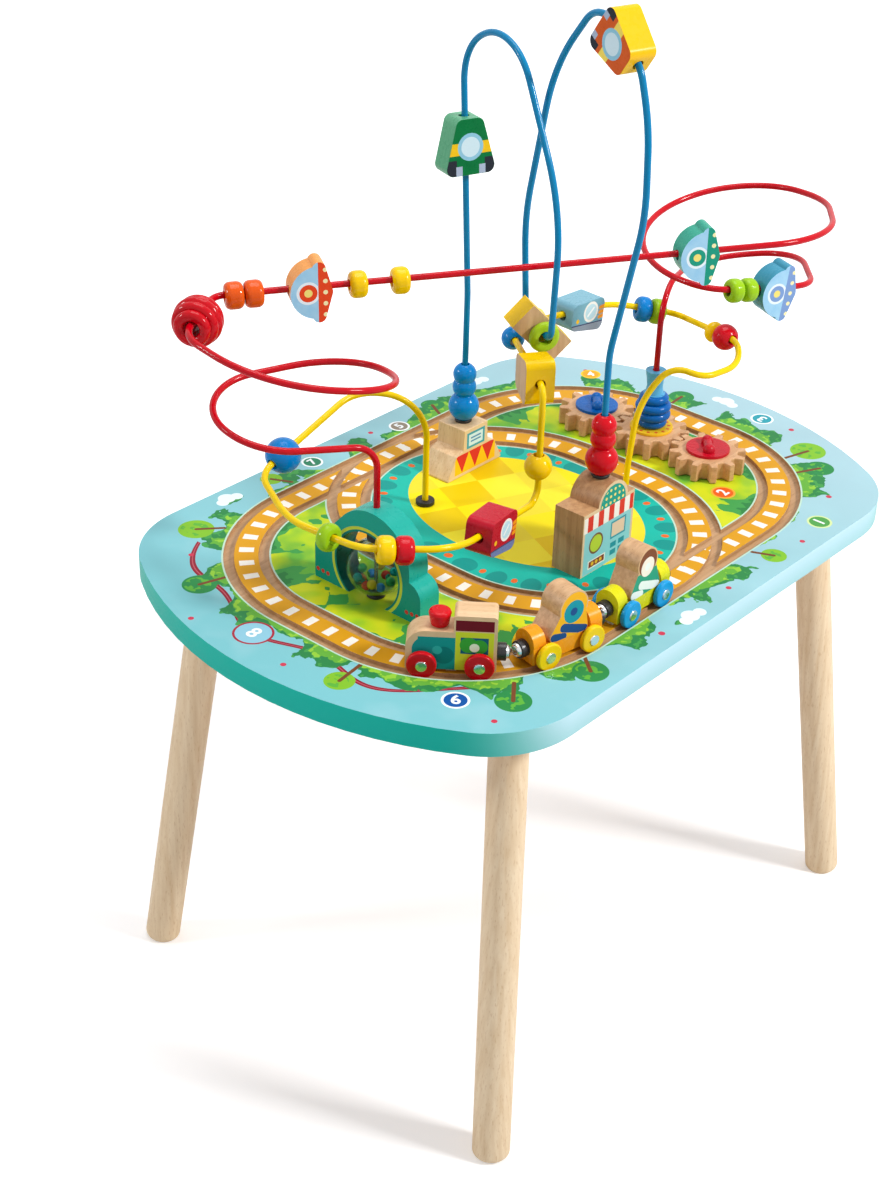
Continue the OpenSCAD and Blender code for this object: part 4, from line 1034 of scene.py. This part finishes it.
# Cars and blocks: rounded blocks of wood drilled along the wire, sprayed in one colour;
# their two faces carry simple printed windows, stripes and lamps.
red_at = strung((-160, -68, 62), (-41, -45, 45), 50, 4)
grey_at = strung((28, 46, 136), (150, 38, 122), 83, 4)
for node, at, code, deep, sill, under in (
    ("red_car", red_at, "#c4142c", "#b01028", -8.5, "#6f7cb0"),
    ("grey_car", grey_at, "#7fb4c6", "#6ba4ba", -6.5, "#8f9cae"),
):
    finish, tree = new_finish(node + "_print")
    axes = put(tree, "SeparateXYZ", (own_mm(tree, at),))
    plane = put(tree, "CombineXYZ", (axes.outputs[0], axes.outputs[2], 0.0))
    haze = put(tree, "TexNoise", {"Vector": plane, "Scale": 1 / 9, "Detail": 1.0})
    ink = put(tree, "MixRGB", (haze, linear(deep), linear(code)))
    ink = over(tree, ink, put(tree, "Math", (axes.outputs[2], sill), operation="LESS_THAN"), under)
    ink = over(tree, ink, stroke(tree, plane, (-30, sill), (30, sill), 0.5), "#39406a")
    ink = over(tree, ink, disc(tree, plane, 3, 3, 8.6), "#f2f1ec")
    ink = over(tree, ink, disc(tree, plane, 3, 3, 6.6), "#bcdfec")
    ink = over(tree, ink, stroke(tree, plane, (0, 0), (6, 6), 0.9), "#f2f8fa")
    ink = over(tree, ink, disc(tree, plane, -12, -3, 1.9), "#f6c21c")
    tail_stripes = [stroke(tree, plane, (14, v), (20, v + 1), 1.6) for v in (-3, 1, 5)]
    ink = over(tree, ink, any_of(tree, tail_stripes), "#f39a1c")
    inked(tree, ink, 0.3)
    car = twin(node)
    soften(car, 0.0025, 3)
    smooth(car)
    dress(car, lacquer(node + "_lacquer", code, 0.28))
    face_way = at.col[1].to_3d()
    dress(car, finish, lambda c, n: abs(n.dot(face_way)) > facing)

tall_way = (Vector((-0.012, -0.0805, 0)) - Vector((0.0305, 0.0896, 0))).normalized()
tall_out = Vector((tall_way.y, -tall_way.x, 0))


def tall_spot(s, out, high):
    """A corner of the tall wire: along, out of its plane and up, in millimetres."""
    p = Vector((30.5, 89.6, 0)) + tall_way * s + tall_out * out
    return (p.x, p.y, high)


half_turn = Matrix.Rotation(math.pi, 4, "Z")
green_at = strung(tall_spot(0, 0, 150), tall_spot(-13, 2, 343), 119, 4, tall_out)
green_at = green_at @ Matrix.Rotation(math.radians(80), 4, "X") @ half_turn
orange_at = strung(tall_spot(150, -1, 402), tall_spot(185, 0, 377), 21, 1.8, tall_out) @ half_turn
for node, at, sides, front, deep, belt in (
    ("green_car", green_at, "#5eae82", "#0c7c40", "#066a38", "#f2c31c"),
    ("orange_car", orange_at, "#fbc408", "#dc6426", "#cc5420", "#f6dd63"),
):
    finish, tree = new_finish(node + "_print")
    axes = put(tree, "SeparateXYZ", (own_mm(tree, at),))
    plane = put(tree, "CombineXYZ", (axes.outputs[0], axes.outputs[2], 0.0))
    haze = put(tree, "TexNoise", {"Vector": plane, "Scale": 1 / 9, "Detail": 1.0})
    ink = put(tree, "MixRGB", (haze, linear(front), linear(deep)))
    ink = over(tree, ink, panel(tree, plane, 1, 0, 4.6, 40), belt)
    ink = over(tree, ink, disc(tree, plane, 0, 0, 10.5), "#8fc6dc")
    ink = over(tree, ink, disc(tree, plane, 0, 0, 7.6), "#cfe7f0")
    tyres = [panel(tree, plane, 18, v, 9, 4.5) for v in (-16, 16)]
    ink = over(tree, ink, any_of(tree, tyres), "#2a2f38")
    lamps = [panel(tree, plane, 20, v, 6, 2.6) for v in (-9.5, 9.5)]
    ink = over(tree, ink, any_of(tree, lamps), "#aab9cf")
    inked(tree, ink, 0.3)
    car = twin(node)
    soften(car, 0.0018, 3)
    smooth(car)
    dress(car, lacquer(node + "_lacquer", sides, 0.28))
    face_way = at.col[1].to_3d()
    dress(car, finish, lambda c, n: abs(n.dot(face_way)) > facing)

sunny_yellow = lacquer("block_yellow", "#ffd000", 0.24)
bare_face = beech("bare_beech_face", 2, pale="#d8b384", dark="#c2976a")
riser = twin("riser_block")
soften(riser, 0.0012, 3)
smooth(riser)
dress(riser, sunny_yellow)
riser_at = strung((-41, -45, 138), (28, 46, 136), 25, 4)
riser_way = riser_at.col[1].to_3d()
dress(riser, bare_face, lambda c, n: abs(n.dot(riser_way)) > facing)
hanging = twin("hanging_block")
soften(hanging, 0.0010, 3, sharp=20)
smooth(hanging)
dress(hanging, sunny_yellow)
hanging_at = strung(tall_spot(117, 8, 157), tall_spot(66, -7, 158), 27, 5.5, tall_out)
hanging_into = hanging_at.inverted()
hanging_way = hanging_at.col[0].to_3d()
block_half = 0.0103  # just over half the block's thickness; the lime ring lies beyond it
dress(hanging, lacquer("ring_lime", "#a9cf1d", 0.22), lambda c, n: (hanging_into @ c).x < -block_half)
dress(
    hanging,
    bare_face,
    lambda c, n: abs((hanging_into @ c).x) < block_half and abs(n.dot(hanging_way)) > facing,
)
